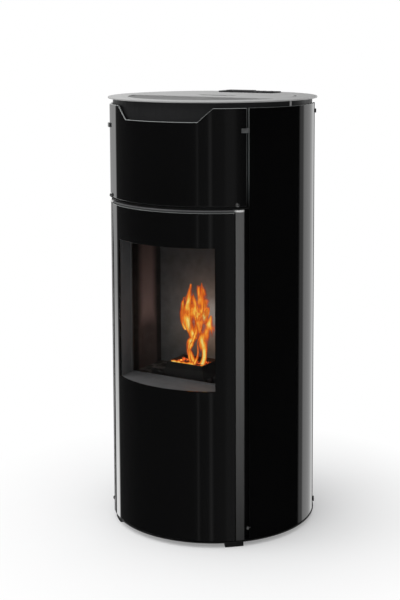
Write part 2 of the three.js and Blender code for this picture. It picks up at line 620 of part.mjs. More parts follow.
/** The wedge that takes back one rear corner of the lid. */
function lidCorner(sign) {
  const { half, across, along } = LID_CORNER;
  return upright([
    new THREE.Vector2(sign * half, LID.back),
    new THREE.Vector2(sign * (half + 2 * across), LID.back - 2 * along),
    new THREE.Vector2(sign * (half + 2 * across), LID.back + 1),
    new THREE.Vector2(sign * half, LID.back + 1),
  ], LID.thickness + 2).translate(0, 0, -1);
}

// -------------------------------------------------------------------- firebox
function addFirebox(group) {
  const { half, front, back, floor, roof, lining } = FIREBOX;
  const wallFront = -front + FRONT_PLATE.thickness + GAP;
  const rear = -back + lining;
  const outer = half + lining;

  const { margin } = FRONT_PLATE;
  const plateEdge = { half: FRONT_PLATE.half, bottom: floor - margin, top: roof + margin };
  const mouth = { half, bottom: floor, top: roof };
  const frontPlate = openingRing(plateEdge, mouth, 0, FRONT_PLATE.thickness);
  piece(group, 'firebox_front', frontPlate, CAST_IRON, { y: -front });

  const slots = [-1, 1].map((sign) => (
    block(...ends(sign, ASH_SLOT.inner, ASH_SLOT.outer), -ASH_SLOT.front, -ASH_SLOT.back, -1, lining + 1)
  ));
  const bossHole = block(
    -POT_BOSS.half - SLACK, POT_BOSS.half + SLACK,
    -POT_BOSS.front - SLACK, -POT_BOSS.back + SLACK, -1, lining + 1,
  );
  const hearth = cut(block(-outer, outer, wallFront, rear, 0, lining), bossHole, ...slots);
  piece(group, 'firebox_floor', hearth, CAST_IRON, { z: floor - lining });

  bothSides((side, sign) => {
    const wall = block(-lining / 2, lining / 2, wallFront, -back - GAP, 0, roof - floor);
    piece(group, `firebox_${side}_wall`, wall, FIRE_LINING, { x: sign * (half + lining / 2), z: floor });
  });
  const chuteHole = block(
    -CHUTE.half - GAP, CHUTE.half + GAP, -back - 1, rear + 1,
    CHUTE.bottom - GAP - floor, CHUTE.top + GAP - floor,
  );
  const smokeHole = block(
    SMOKE_SLOT.left, SMOKE_SLOT.right, -back - 1, rear + 1,
    SMOKE_SLOT.bottom - floor, SMOKE_SLOT.top - floor,
  );
  const backWall = cut(block(-outer, outer, -back, rear, 0, roof - floor), chuteHole, smokeHole);
  piece(group, 'firebox_back_wall', backWall, FIRE_LINING, { z: floor });
  const cover = block(-outer, outer, wallFront, rear, 0, lining);
  piece(group, 'firebox_roof', cover, CAST_IRON, { z: roof + GAP });

  addPedestal(group, rear);
  addBurnPot(group);
  addAshDrawer(group);
}

/** The sheet stand under the firebox, open to the front, with the drawer's runners. */
function addPedestal(group, rear) {
  const { half, wall, front, runner, runnerTall, tieTall } = PEDESTAL;
  const tall = FIREBOX.floor - FIREBOX.lining - BASE_TOP;
  const parts = [
    block(-half, half, rear - wall, rear, 0, tall),
    block(-half, half, -front, -front + wall, tall - tieTall, tall),
  ];
  bothSides((side, sign) => {
    parts.push(block(...ends(sign, half - wall, half), -front, rear, 0, tall));
    const top = DRAWER.bottom - GAP - BASE_TOP;
    parts.push(block(...ends(sign, runner, half - 1), -DRAWER.front + 1, rear - 1, top - runnerTall, top));
  });
  piece(group, 'firebox_pedestal', join(...parts), BLACK_STEEL, { z: BASE_TOP });
}

function addBurnPot(group) {
  const { half, front, back, tall, flare, wall, floor } = POT;
  const outer = loft([
    { z: 0, half: half + flare, front: -front - flare, back: -back + flare },
    { z: tall, half, front: -front, back: -back },
  ]);
  const inner = loft([
    { z: floor, half: half - wall, front: -front + wall, back: -back - wall },
    { z: tall + 1, half: half - wall, front: -front + wall, back: -back - wall },
  ]);
  const boss = block(-POT_BOSS.half, POT_BOSS.half, -POT_BOSS.front, -POT_BOSS.back, -POT_BOSS.tall, 1);
  piece(group, 'burn_pot', cut(join(outer, boss), inner), CAST_IRON, { z: FIREBOX.floor + GAP });
}

function addAshDrawer(group) {
  const { half, front, back, tall, frontHalf } = DRAWER;
  const tray = block(-half, half, -front, -back, 0, tall);
  const hollow = block(-half + SHEET, half - SHEET, -front + SHEET, -back - SHEET, SHEET, tall + 1);
  const panel = block(-frontHalf, frontHalf, -front - SHEET, -front + SHEET, 0, tall);
  const pullLow = DRAWER_PULL.height - DRAWER.bottom;
  const pull = block(
    -DRAWER_PULL.half, DRAWER_PULL.half,
    -front - SHEET - DRAWER_PULL.depth, -front, pullLow, pullLow + DRAWER_PULL.tall,
  );
  const drawer = join(cut(join(tray, panel), hollow), pull);
  piece(group, 'ash_drawer', drawer, BLACK_STEEL, { z: DRAWER.bottom });
}

// ----------------------------------------------------- hopper, screw and chute
function addFeed(group) {
  piece(group, 'hopper', hopperShell(), ZINC);

  const place = { y: AUGER_FOOT.y, z: AUGER_FOOT.z, tilt: AUGER_TILT };
  const { radius, wall } = AUGER_TUBE;
  const tube = cut(
    bar(radius, AUGER_LENGTH),
    bar(radius - wall, AUGER_LENGTH).translate(0, 0, wall),
    bar(SCREW.shaft + GAP, 3 * wall).translate(0, 0, -wall),
    block(-FEED_OPENING.half, FEED_OPENING.half, 0, REACH, FEED_OPENING.low, FEED_OPENING.high),
    block(-DROP_OPENING.half, DROP_OPENING.half, -REACH, 0, DROP_OPENING.low, DROP_OPENING.high),
  );
  piece(group, 'auger_tube', tube, ZINC, place);

  const shaft = bar(SCREW.shaft, AUGER_LENGTH + GEARBOX.bore - 2 * wall).translate(0, 0, wall / 2);
  piece(group, 'auger_screw', join(shaft, helicalFlight()), ZINC, place);

  const box = block(-GEARBOX.half, GEARBOX.half, -GEARBOX.half, GEARBOX.half, 0, GEARBOX.tall);
  const motor = bar(GEAR_MOTOR.radius, GEAR_MOTOR.tall + 1).translate(0, 0, GEARBOX.tall - 1);
  const bore = bar(SCREW.shaft + GAP, GEARBOX.bore + 1).translate(0, 0, -1);
  const geared = cut(join(box, motor), bore).translate(0, 0, AUGER_LENGTH + GAP);
  piece(group, 'auger_gear_motor', geared, MOTOR_CASE, place);

  const { half, bottom, top, front } = CHUTE;
  const tall = top - bottom;
  const tubeCentre = AUGER_FOOT.y - HOPPER_SLOPE * (top - AUGER_FOOT.z);
  const depth = front + tubeCentre;
  const sleeve = cut(
    block(-half, half, 0, depth, 0, tall),
    block(-half + SHEET, half - SHEET, -1, depth + 1, SHEET, tall - SHEET),
    augerClearance().translate(0, front, -bottom),
  );
  piece(group, 'pellet_chute', sleeve, ZINC, { y: -front, z: bottom });
}

/** The room that the feed tube takes in a piece that meets it. */
function augerClearance() {
  return bar(AUGER_TUBE.radius + GAP, 2 * AUGER_LENGTH)
    .translate(0, 0, -AUGER_LENGTH / 2)
    .rotateX(radians(AUGER_TILT))
    .translate(0, AUGER_FOOT.y, AUGER_FOOT.z);
}

function hopperShell() {
  const walls = (inset, rim, floor) => {
    const { half, front, back, slopeTop, belly, shoulder, throatHalf, throatFront, throatTop } = HOPPER;
    const shoulderFront = front + HOPPER_SLOPE * (slopeTop - shoulder);
    const throatLow = throatFront - AUGER_TUBE.radius;
    return loft([
      { z: floor, half: throatHalf - inset, front: throatLow + inset, back: belly - inset },
      { z: throatTop - SHEET, half: throatHalf - inset, front: throatLow + inset, back: belly - inset },
      { z: throatTop, half: throatHalf - inset, front: throatFront + inset, back: belly - inset },
      { z: shoulder, half: half - inset, front: shoulderFront + inset, back: belly - inset },
      { z: slopeTop, half: half - inset, front: front + inset, back: belly - inset },
      { z: rim, half: half - inset, front: front + inset, back: back - inset },
    ]);
  };
  const outside = walls(0, HOPPER.rim, HOPPER.floor);
  const inside = walls(SHEET, HOPPER.rim + 1, HOPPER.floor + SHEET);
  return cut(outside, inside, augerClearance());
}

/** A helical flight: a thin rectangle carried round the shaft as it rises. */
function helicalFlight() {
  const { shaft, radius, pitch, thickness, start, end, steps } = SCREW;
  const turns = (end - start) / pitch;
  const count = Math.round(turns * steps);
  const corners = [];
  const faces = [];
  for (let i = 0; i <= count; i += 1) {
    const angle = (2 * Math.PI * turns * i) / count;
    const z = start + ((end - start) * i) / count;
    [[shaft - 2, 0], [radius, 0], [radius, thickness], [shaft - 2, thickness]].forEach(([r, rise]) => {
      corners.push(r * Math.cos(angle), r * Math.sin(angle), z + rise);
    });
  }
  for (let i = 0; i < count; i += 1) {
    for (let side = 0; side < 4; side += 1) {
      const a = i * 4 + side;
      const b = i * 4 + ((side + 1) % 4);
      faces.push(a, a + 4, b + 4, a, b + 4, b);
    }
  }
  const last = count * 4;
  faces.push(0, 1, 2, 0, 2, 3, last, last + 2, last + 1, last, last + 3, last + 2);
  const geometry = new THREE.BufferGeometry();
  geometry.setAttribute('position', new THREE.Float32BufferAttribute(corners, 3));
  geometry.setIndex(faces);
  return geometry;
}

// ------------------------------------------------- smoke duct, exhaust and flue
function addExhaust(group) {
  const front = -FIREBOX.back + FIREBOX.lining + GAP;
  const duct = cut(
    block(DUCT.left, DUCT.right, front, DUCT.back, DUCT.bottom, DUCT.top),
    block(
      DUCT.left + SHEET, DUCT.right - SHEET, front - 1, DUCT.back - SHEET,
      DUCT.bottom + SHEET, DUCT.top - SHEET,
    ),
    barBack(FAN.inlet, REACH).translate(FAN.x, 0, FAN.z),
  );
  piece(group, 'smoke_duct', duct, ZINC);

  const { radius, back, wall, inlet, shaft } = FAN;
  const scroll = (inset) => join(
    barBack(radius - inset, back - FAN_FRONT - 2 * inset).translate(0, inset, 0),
    block(
      0, OUTLET_BOX.right - FAN.x - inset, inset, back - FAN_FRONT - inset,
      OUTLET_BOX.bottom - FAN.z + inset, OUTLET_BOX.top - FAN.z - inset,
    ),
  );
  const housing = cut(
    scroll(0),
    scroll(wall),
    barBack(inlet, wall + 2).translate(0, -1, 0),
    barBack(shaft + SLACK, REACH),
    barBack(FLUE.radius - FLUE.wall, REACH)
      .translate(FLUE.x - FAN.x, back - FAN_FRONT - wall - 1, FLUE.z - FAN.z),
  );
  piece(group, 'exhaust_fan_housing', housing, CAST_IRON, { x: FAN.x, y: FAN_FRONT, z: FAN.z });

  const halfBlade = IMPELLER.blade / 2;
  const blades = Array.from({ length: IMPELLER.blades }, (_, i) => (
    block(IMPELLER.hub, IMPELLER.radius, IMPELLER.front, IMPELLER.back, -halfBlade, halfBlade)
      .rotateY((2 * Math.PI * i) / IMPELLER.blades)
  ));
  const backDisc = barBack(IMPELLER.radius, SHEET).translate(0, IMPELLER.back - SHEET / 2, 0);
  const axle = barBack(shaft, IMPELLER.shaftEnd - IMPELLER.back).translate(0, IMPELLER.back, 0);
  const impeller = join(backDisc, axle, ...blades);
  piece(group, 'exhaust_impeller', impeller, ZINC, { x: FAN.x, z: FAN.z });

  const motor = cut(
    barBack(FAN_MOTOR.radius, FAN_MOTOR.length),
    barBack(shaft + GAP, FAN_MOTOR.bore + 1).translate(0, -1, 0),
  );
  piece(group, 'exhaust_motor', motor, MOTOR_CASE, { x: FAN.x, y: back + GAP, z: FAN.z });

  const spigot = pipeBack(FLUE.radius, FLUE.wall, FLUE.end - back - GAP);
  piece(group, 'flue_spigot', spigot, BLACK_STEEL, { x: FLUE.x, y: back + GAP, z: FLUE.z });
  const inletPipe = pipeBack(AIR_INLET.radius, AIR_INLET.wall, AIR_INLET.end - AIR_INLET.start);
  piece(group, 'air_inlet_pipe', inletPipe, ZINC, { x: AIR_INLET.x, y: AIR_INLET.start, z: AIR_INLET.z });
}

// ------------------------------------------------------------- room-air fan
/** The air's way up through the base plate and the fan's floor. */
function fanIntake(low, high) {
  const { left, right, front, back, intakeMargin: margin } = ROOM_FAN;
  return block(left + margin, right - margin, front + margin, back - margin, low, high);
}

function addRoomFan(group) {
  const { left, right, front, back, tall } = ROOM_FAN;
  const axis = { y: (front + back) / 2, z: tall / 2 };
  const box = cut(
    block(left, right, front, back, 0, tall),
    block(left + SHEET, right - SHEET, front + SHEET, back - SHEET, SHEET, tall + 1),
    fanIntake(-1, SHEET + 1),
    barAcross(ROTOR.shaft + GAP, left - 1, right + 1).translate(0, axis.y, axis.z),
  );
  piece(group, 'room_fan_housing', box, ZINC, { z: BASE_TOP });

  const from = left + SHEET + ROTOR.margin;
  const to = right - SHEET - ROTOR.margin;
  const blades = Array.from({ length: ROTOR.blades }, (_, i) => (
    block(from, to, ROTOR.bladeInner, ROTOR.bladeOuter, -ROTOR.blade / 2, ROTOR.blade / 2)
      .rotateX((2 * Math.PI * i) / ROTOR.blades)
  ));
  const rotor = join(
    barAcross(ROTOR.shaft, left + GAP, right - GAP),
    barAcross(ROTOR.radius, from, from + ROTOR.disc),
    barAcross(ROTOR.radius, to - ROTOR.disc, to),
    ...blades,
  );
  piece(group, 'room_fan_rotor', rotor, ZINC, { y: axis.y, z: BASE_TOP + axis.z });
}

// --------------------------------------------------- mains inlet and its switch
function addMains(group) {
  const mains = new THREE.Group();
  mains.name = 'mains';
  mains.rotation.z = radians(MAINS.turn);
  group.add(mains);

  const face = REAR_RADIUS + MAINS.proud;
  const middle = MAINS.tall / 2;
  const body = cut(
    block(-MAINS.half, MAINS.half, MAINS.front, face, 0, MAINS.tall),
    block(
      SOCKET.x - SOCKET.half, SOCKET.x + SOCKET.half, face - SOCKET.depth, face + 1,
      middle - SOCKET.tallHalf, middle + SOCKET.tallHalf,
    ),
    block(
      ROCKER.x - ROCKER.half - SLACK, ROCKER.x + ROCKER.half + SLACK, face - ROCKER.pocket, face + 1,
      middle - ROCKER.tallHalf - 2, middle + ROCKER.tallHalf + 2,
    ),
  );
  piece(mains, 'mains_inlet', body, BLACK_PLASTIC, { z: MAINS.bottom });

  const { half, behind, ahead, tallHalf } = ROCKER;
  const rocker = block(-half, half, -behind, ahead, -tallHalf, tallHalf);
  piece(mains, 'main_switch', rocker, BLACK_PLASTIC, {
    x: ROCKER.x, y: face - ROCKER.ahead, z: MAINS.bottom + middle, tilt: ROCKER.tilt,
  });
}

// ----------------------------------------------------------------------- door
function addDoor(group) {
  const tall = DOOR_TOP - LIP.thickness - DOOR_BOTTOM;
  const window = openingBlock(opening(0), -REACH, 0).translate(0, 0, -DOOR_BOTTOM);
  const skinRadius = FRONT_RADIUS - GLASS - GAP;

  const glass = curvedPlate(
    FRONT_RADIUS, GLASS, -DOOR_HALF_ANGLE, DOOR_HALF_ANGLE, DOOR_GLASS_TOP - DOOR_BOTTOM,
  );
  piece(group, 'door_glass', cut(glass, window), BLACK_GLASS, { z: DOOR_BOTTOM });

  const sheet = curvedPlate(skinRadius, SKIN.thickness, -SKIN.halfAngle, SKIN.halfAngle, tall + 1);
  const skin = cut(sheet, window);
  const lip = curvedPlate(FRONT_RADIUS - GAP, LIP.depth, -LIP.halfAngle, LIP.halfAngle, LIP.thickness);
  const box = openingRing(opening(SHEET), opening(0), -FRONT_RADIUS, -RECESS_BACK)
    .translate(0, 0, -DOOR_BOTTOM);
  const recess = common(box, bar(skinRadius - SKIN.thickness / 2, tall, RING_SIDES));
  const flange = openingRing(
    opening(FLANGE_MARGIN), opening(-PANE.lip), -RECESS_BACK - SHEET, -RECESS_BACK,
  ).translate(0, 0, -DOOR_BOTTOM);
  const channelTall = COLUMN.top - CHANNEL.topGap - DOOR_BOTTOM;
  const channels = [-1, 1].flatMap((sign) => {
    const [from, to] = span(sign, CHANNEL.start, CHANNEL.end);
    const [webFrom, webTo] = span(sign, CHANNEL.webStart, CHANNEL.webEnd);
    return [
      curvedPlate(CHANNEL.radius, CHANNEL.thickness, from, to, channelTall),
      curvedPlate(skinRadius - 1, skinRadius - CHANNEL.radius, webFrom, webTo, channelTall),
    ];
  });
  const frame = join(skin, lip.translate(0, 0, tall), recess, flange, ...channels);
  piece(group, 'door_frame', frame, GREY_STEEL, { z: DOOR_BOTTOM });

  addWindowPane(group);
  bothSides((side, sign) => {
    const name = side === 'right' ? 'hinge_column' : 'grip_column';
    piece(group, name, doorColumn(sign), COLUMN_STEEL, { z: DOOR_BOTTOM });
  });
}

function addWindowPane(group) {
  const seat = -RECESS_BACK + GAP;
  const behind = PANE.thickness + GAP;
  const pane = openingBlock(opening(PANE.overlap), 0, PANE.thickness);
  piece(group, 'window_pane', pane, CLEAR_CERAMIC, { y: seat });

  const plate = openingRing(
    opening(RETAINER.margin), opening(-RETAINER.cover), behind, behind + RETAINER.thickness,
  );
  const rim = openingRing(opening(RETAINER.margin), opening(PANE.overlap + GAP), 0, behind + 0.5);
  piece(group, 'pane_retainer', join(plate, rim), GREY_STEEL, { y: seat });

  const sealSeat = seat + behind + RETAINER.thickness + GAP;
  const rope = openingRing(opening(SEAL.outer), opening(SEAL.inner), 0, -FIREBOX.front - GAP - sealSeat);
  piece(group, 'door_seal', rope, SEAL_ROPE, { y: sealSeat });
}

/** The upright at one edge of the door, capped by a round bush; the right one turns on two pins. */
function doorColumn(sign) {
  const tall = COLUMN.top - DOOR_BOTTOM;
  const back = FRONT_RADIUS - COLUMN.depth;
  const [from, to] = span(sign, COLUMN.start, COLUMN.end);
  const chamferAngle = THREE.MathUtils.radToDeg(COLUMN.chamfer / back);
  const outline = [
    ...arcPoints(FRONT_RADIUS, from, to),
    onCircle(back + COLUMN.chamfer, to),
    onCircle(back, to - chamferAngle),
    onCircle(back, from + chamferAngle),
    onCircle(back + COLUMN.chamfer, from),
  ];
  const { x, y } = hingePoint(sign);
  const bushTall = DOOR_TOP - COLUMN.top;
  const column = join(upright(outline, tall), bar(BUSH_RADIUS, bushTall + 1).translate(x, y, tall - 1));
  if (sign < 0) {
    return column;
  }
  const bore = bar(HINGE.pin + GAP, HINGE.reach + 1);
  return cut(
    column,
    bore.clone().translate(x, y, -1),
    bore.clone().translate(x, y, DOOR_TOP - DOOR_BOTTOM - HINGE.reach),
  );
}

// ---------------------------------------------------------------- whole stove
const stove = new THREE.Group();
stove.name = 'pellet_stove';

function section(name) {
  const group = new THREE.Group();
  group.name = name;
  stove.add(group);
  return group;
}

const casing = section('casing');
addBase(casing);
addInnerFrame(casing);
addCladding(casing);
addRearCover(casing);
addTop(casing);
addConsole(casing);
addLid(section('lid'));
addDoor(section('door'));
addFirebox(section('firebox'));
addFeed(section('feed'));
addExhaust(section('exhaust'));
addRoomFan(section('room_air'));
addMains(casing);

export default stove;
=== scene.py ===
import math

import bmesh
import bpy
import numpy as np
from bpy.props import FloatProperty, FloatVectorProperty, IntProperty, PointerProperty
from mathutils import Matrix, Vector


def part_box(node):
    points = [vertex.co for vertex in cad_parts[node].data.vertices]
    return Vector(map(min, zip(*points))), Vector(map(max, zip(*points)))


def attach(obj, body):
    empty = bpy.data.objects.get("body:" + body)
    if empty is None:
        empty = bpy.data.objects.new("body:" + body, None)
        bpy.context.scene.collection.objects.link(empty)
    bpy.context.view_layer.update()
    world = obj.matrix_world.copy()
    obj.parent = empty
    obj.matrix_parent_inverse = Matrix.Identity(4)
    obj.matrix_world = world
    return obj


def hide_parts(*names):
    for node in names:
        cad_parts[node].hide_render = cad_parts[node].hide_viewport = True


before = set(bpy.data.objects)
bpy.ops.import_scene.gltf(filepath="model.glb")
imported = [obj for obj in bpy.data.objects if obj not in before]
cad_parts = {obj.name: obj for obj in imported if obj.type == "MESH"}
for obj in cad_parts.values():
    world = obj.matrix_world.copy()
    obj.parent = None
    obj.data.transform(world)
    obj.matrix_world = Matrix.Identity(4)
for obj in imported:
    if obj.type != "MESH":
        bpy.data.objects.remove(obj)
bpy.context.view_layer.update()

bl_info = {
    "name": "Round pellet stove",
    "version": (1, 0, 0),
    "blender": (4, 5, 0),
    "location": "3D View > Sidebar > Stove",
    "description": "Glass, painted steel, fire and fittings for a round pellet stove",
    "category": "Object",
}

ARC_STEP = math.radians(1.0)

# how far each bent glass reaches from the middle of the front
DOOR_GLASS_END = math.radians(42.2)
UPPER_GLASS_END = math.radians(48.7)
SIDE_GLASS_START, SIDE_GLASS_END = math.radians(50.1), math.radians(117)
COLUMN_START, COLUMN_END = math.radians(42.6), math.radians(47.2)

# the disc, the lid's axle, the door's seal, the uprights' caps and the pipes, in metres
DISC_THICKNESS = 0.004
LEDGE_THICKNESS = 0.003
LID_AXIS_Y, LID_AXIS_DROP = 0.167, 0.005
SEAL_WIDTH = 0.010
CAP_HEIGHT, CAP_RADIUS, CAP_INSET, CAP_BEAD = 0.005, 0.0135, 0.011, 0.0008
PIPE_WALL, PIPE_BEAD = 0.003, 0.0012


# ---- settings
def length(name, description, default):
    return FloatProperty(name=name, description=description, default=default, min=0.0, unit="LENGTH")


def colour(name, description, default):
    return FloatVectorProperty(
        name=name, description=description, default=default, size=3, min=0.0, max=1.0, subtype="COLOR")


class StoveSizes(bpy.types.PropertyGroup):
    """Sizes of the stove's curved pieces, in metres."""
    front_radius: length("Front radius", "Outer face of the door glass and the upper glass", 0.2725)
    side_radius: length("Side radius", "Outer face of the side panels", 0.2685)
    glass: length("Glass", "Thickness of the curved glass", 0.005)
    window_half: length("Window half width", "Half the width of the window's opening", 0.143)
    window_low: length("Window foot", "Lower edge of the window's opening", 0.404)
    window_high: length("Window head", "Upper edge of the window's opening", 0.764)
    disc_radius: length("Disc radius", "Outer radius of the steel disc", 0.275)
    disc_top: length("Disc top", "Height of the disc's upper face", 1.125)
    well_radius: length("Well radius", "Radius of the round well in the disc", 0.2223)
    edge_round: length("Edge rounding", "Rounding of glass and sheet edges", 0.0006)
    pellet_length: length("Pellet length", "Length of one wood pellet", 0.013)
    pellets: IntProperty(name="Pellets", description="Pellets that lie in the burn pot", default=150, min=1)


class StoveColours(bpy.types.PropertyGroup):
    """Colours of the stove's finishes."""
    black_glass: colour("Black glass", "Enamelled glass of the door and panels", (0.0018, 0.0018, 0.0019))
    silver_paint: colour("Silver paint", "Disc and lid", (0.44, 0.44, 0.436))
    inset_paint: colour("Inset paint", "Plate in front of the lid", (0.155, 0.155, 0.153))
    grey_steel: colour("Grey steel", "Window recess", (0.108, 0.109, 0.111))
    inner_steel: colour("Inner wall", "Steel shell behind the upper glass", (0.018, 0.018, 0.019))
    column_steel: colour("Column steel", "Uprights beside the door", (0.150, 0.149, 0.147))
    flame_core: colour("Flame core", "Hot part of the flames", (1.0, 0.54, 0.07))
    flame_edge: colour("Flame edge", "Outer part of the flames", (0.62, 0.075, 0.010))


# ---- mesh building
def points_of(*parts):
    """A grid of points from its coordinates, each spread over the whole grid."""
    return np.stack(np.broadcast_arrays(*parts), axis=-1)


def polar(radius, angle, height):
    """Points at a radius and an angle about the drum's axis: x is radius times the
    sine of the angle, y is minus radius times its cosine, z is the height."""
    return points_of(radius * np.sin(angle), -radius * np.cos(angle), height)


def full_turn(count):
    """Angles spaced evenly round a circle."""
    return np.linspace(0, 2 * math.pi, count, endpoint=False)


def stations(*stops, step=ARC_STEP):
    """A rising row of values through all stops, no further apart than one step."""
    rows = [np.linspace(a, b, max(2, int(math.ceil(abs(b - a) / step)) + 1))[:-1]
            for a, b in zip(stops, stops[1:])]
    return np.concatenate(rows + [np.array([stops[-1]])])


def numbered(points):
    """The number of each point of a grid, by its row and column."""
    rows, columns = points.shape[:2]
    return np.arange(rows * columns).reshape(rows, columns)


def plate(front, back, kept=None):
    """A plate between two grids of points, front and back: every kept cell has a face
    on both, and a wall joins the two wherever a kept cell meets an open one."""
    index = numbered(front)
    if kept is None:
        kept = np.ones((index.shape[0] - 1, index.shape[1] - 1), dtype=bool)
    shift = index.size
    cells = np.stack([index[:-1, :-1], index[1:, :-1], index[1:, 1:], index[:-1, 1:]], axis=-1)[kept]
    padded = np.pad(kept, 1)
    along = np.stack([index[:-1, :], index[1:, :]], axis=-1)
    across = np.stack([index[:, :-1], index[:, 1:]], axis=-1)
    rim = np.concatenate([
        along[padded[1:-1, :-1] != padded[1:-1, 1:]],
        across[padded[:-1, 1:-1] != padded[1:, 1:-1]],
    ])
    walls = np.stack([rim[:, 0], rim[:, 1], rim[:, 1] + shift, rim[:, 0] + shift], axis=-1)
    points = np.concatenate([front.reshape(-1, 3), back.reshape(-1, 3)])
    return points, np.concatenate([cells, cells[:, ::-1] + shift, walls])


def loop_tube(points):
    """A closed tube from a grid of points whose rows and columns both run round."""
    index = numbered(points)
    right = np.roll(index, -1, axis=0)
    faces = np.stack([index, right, np.roll(right, -1, axis=1), np.roll(index, -1, axis=1)], axis=-1)
    return points.reshape(-1, 3), faces.reshape(-1, 4)


def capped_tube(points):
    """A tube whose columns run round a section and whose two end rows are closed
    by a fan to their middle."""
    index = numbered(points)
    beside = np.roll(index, -1, axis=1)
    sides = np.stack([index[:-1], index[1:], beside[1:], beside[:-1]], axis=-1).reshape(-1, 4)
    first, last = (np.full(index.shape[1], index.size + end) for end in (0, 1))
    caps = np.concatenate([
        np.stack([index[0], beside[0], first, first], axis=-1),
        np.stack([beside[-1], index[-1], last, last], axis=-1),
    ])
    ends = np.stack([points[0].mean(axis=0), points[-1].mean(axis=0)])
    return np.concatenate([points.reshape(-1, 3), ends]), np.concatenate([sides, caps])


def block(low, high):
    """A box between two corners, as two flat grids of four points."""
    (x0, y0, z0), (x1, y1, z1) = low, high
    floor = np.array([[[x0, y0, z0], [x0, y1, z0]], [[x1, y0, z0], [x1, y1, z0]]])
    return plate(floor + np.array([0.0, 0.0, z1 - z0]), floor)


def rod(radius, start, end, sides=32, bead=0.0):
    """A round bar from start to end: circles about the line between them, drawn in
    a little at both ends to round the edge."""
    start, end = np.array(start, dtype=float), np.array(end, dtype=float)
    line = end - start
    reach = np.linalg.norm(line)
    line /= reach
    side = np.cross(line, [0.0, 0.0, 1.0] if abs(line[2]) < 0.9 else [1.0, 0.0, 0.0])
    side /= np.linalg.norm(side)
    up = np.cross(line, side)
    turn = full_turn(sides)[:, None]
    steps = np.array([0.0, bead, reach - bead, reach])
    radii = np.array([radius - bead, radius, radius, radius - bead])
    circle = np.cos(turn) * side + np.sin(turn) * up
    return capped_tube(start + steps[:, None, None] * line + radii[:, None, None] * circle)


def add_object(name, mesh, body, kind):
    """Links a mesh with its finish into the scene, on the body that it rides on."""
    piece = bpy.data.objects.new(name, mesh)
    bpy.context.scene.collection.objects.link(piece)
    mesh.materials.append(FINISHES[kind])
    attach(piece, body)
    return piece


def make_piece(name, parts, body, kind, replaces=(), edge=0.0, angle=32.0):
    """Puts parts, each points and faces, into one object that rides on a body, with its finish in the
    object's one slot."""
    builder = bmesh.new()
    for points, faces in parts:
        used, places = np.unique(faces, return_inverse=True)
        corners = [list(dict.fromkeys(face)) for face in places.reshape(faces.shape).tolist()]
        part_mesh = bpy.data.meshes.new(name + "_part")
        part_mesh.from_pydata(points[used].tolist(), [], corners)
        part = bmesh.new()
        part.from_mesh(part_mesh)
        bmesh.ops.remove_doubles(part, verts=part.verts, dist=1e-6)
        bmesh.ops.recalc_face_normals(part, faces=part.faces)
        part.to_mesh(part_mesh)
        part.free()
        builder.from_mesh(part_mesh)
        bpy.data.meshes.remove(part_mesh)
    mesh = bpy.data.meshes.new(name)
    builder.to_mesh(mesh)
    builder.free()
    mesh.shade_smooth()
    mesh.set_sharp_from_angle(angle=math.radians(angle))
    piece = add_object(name, mesh, body, kind)
    if edge:
        soften(piece, edge)
    if replaces:
        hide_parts(*replaces)


def make_sheet(name, points, uv, body, kind):
    """An open grid of points with its own map, for flames."""
    index = numbered(points)
    faces = np.stack([index[:-1, :-1], index[:-1, 1:], index[1:, 1:], index[1:, :-1]], axis=-1).reshape(-1, 4)
    mesh = bpy.data.meshes.new(name)
    mesh.from_pydata(points.reshape(-1, 3).tolist(), [], faces.tolist())
    layer = mesh.uv_layers.new(name="UVMap")
    layer.data.foreach_set("uv", uv.reshape(-1, 2)[faces.reshape(-1)].astype(np.float32).ravel())
    mesh.shade_smooth()
    add_object(name, mesh, body, kind)


def soften(piece, width):
    bevel = piece.modifiers.new("rounded_edges", "BEVEL")
    bevel.width = width
    bevel.segments = 2
    bevel.limit_method = "ANGLE"
    bevel.angle_limit = math.radians(40)
    bevel.harden_normals = True


# ---- node trees
def spaced(inputs):
    """Inputs by the names that their sockets have, with spaces for underscores."""
    return {key.replace("_", " "): value for key, value in inputs.items()}


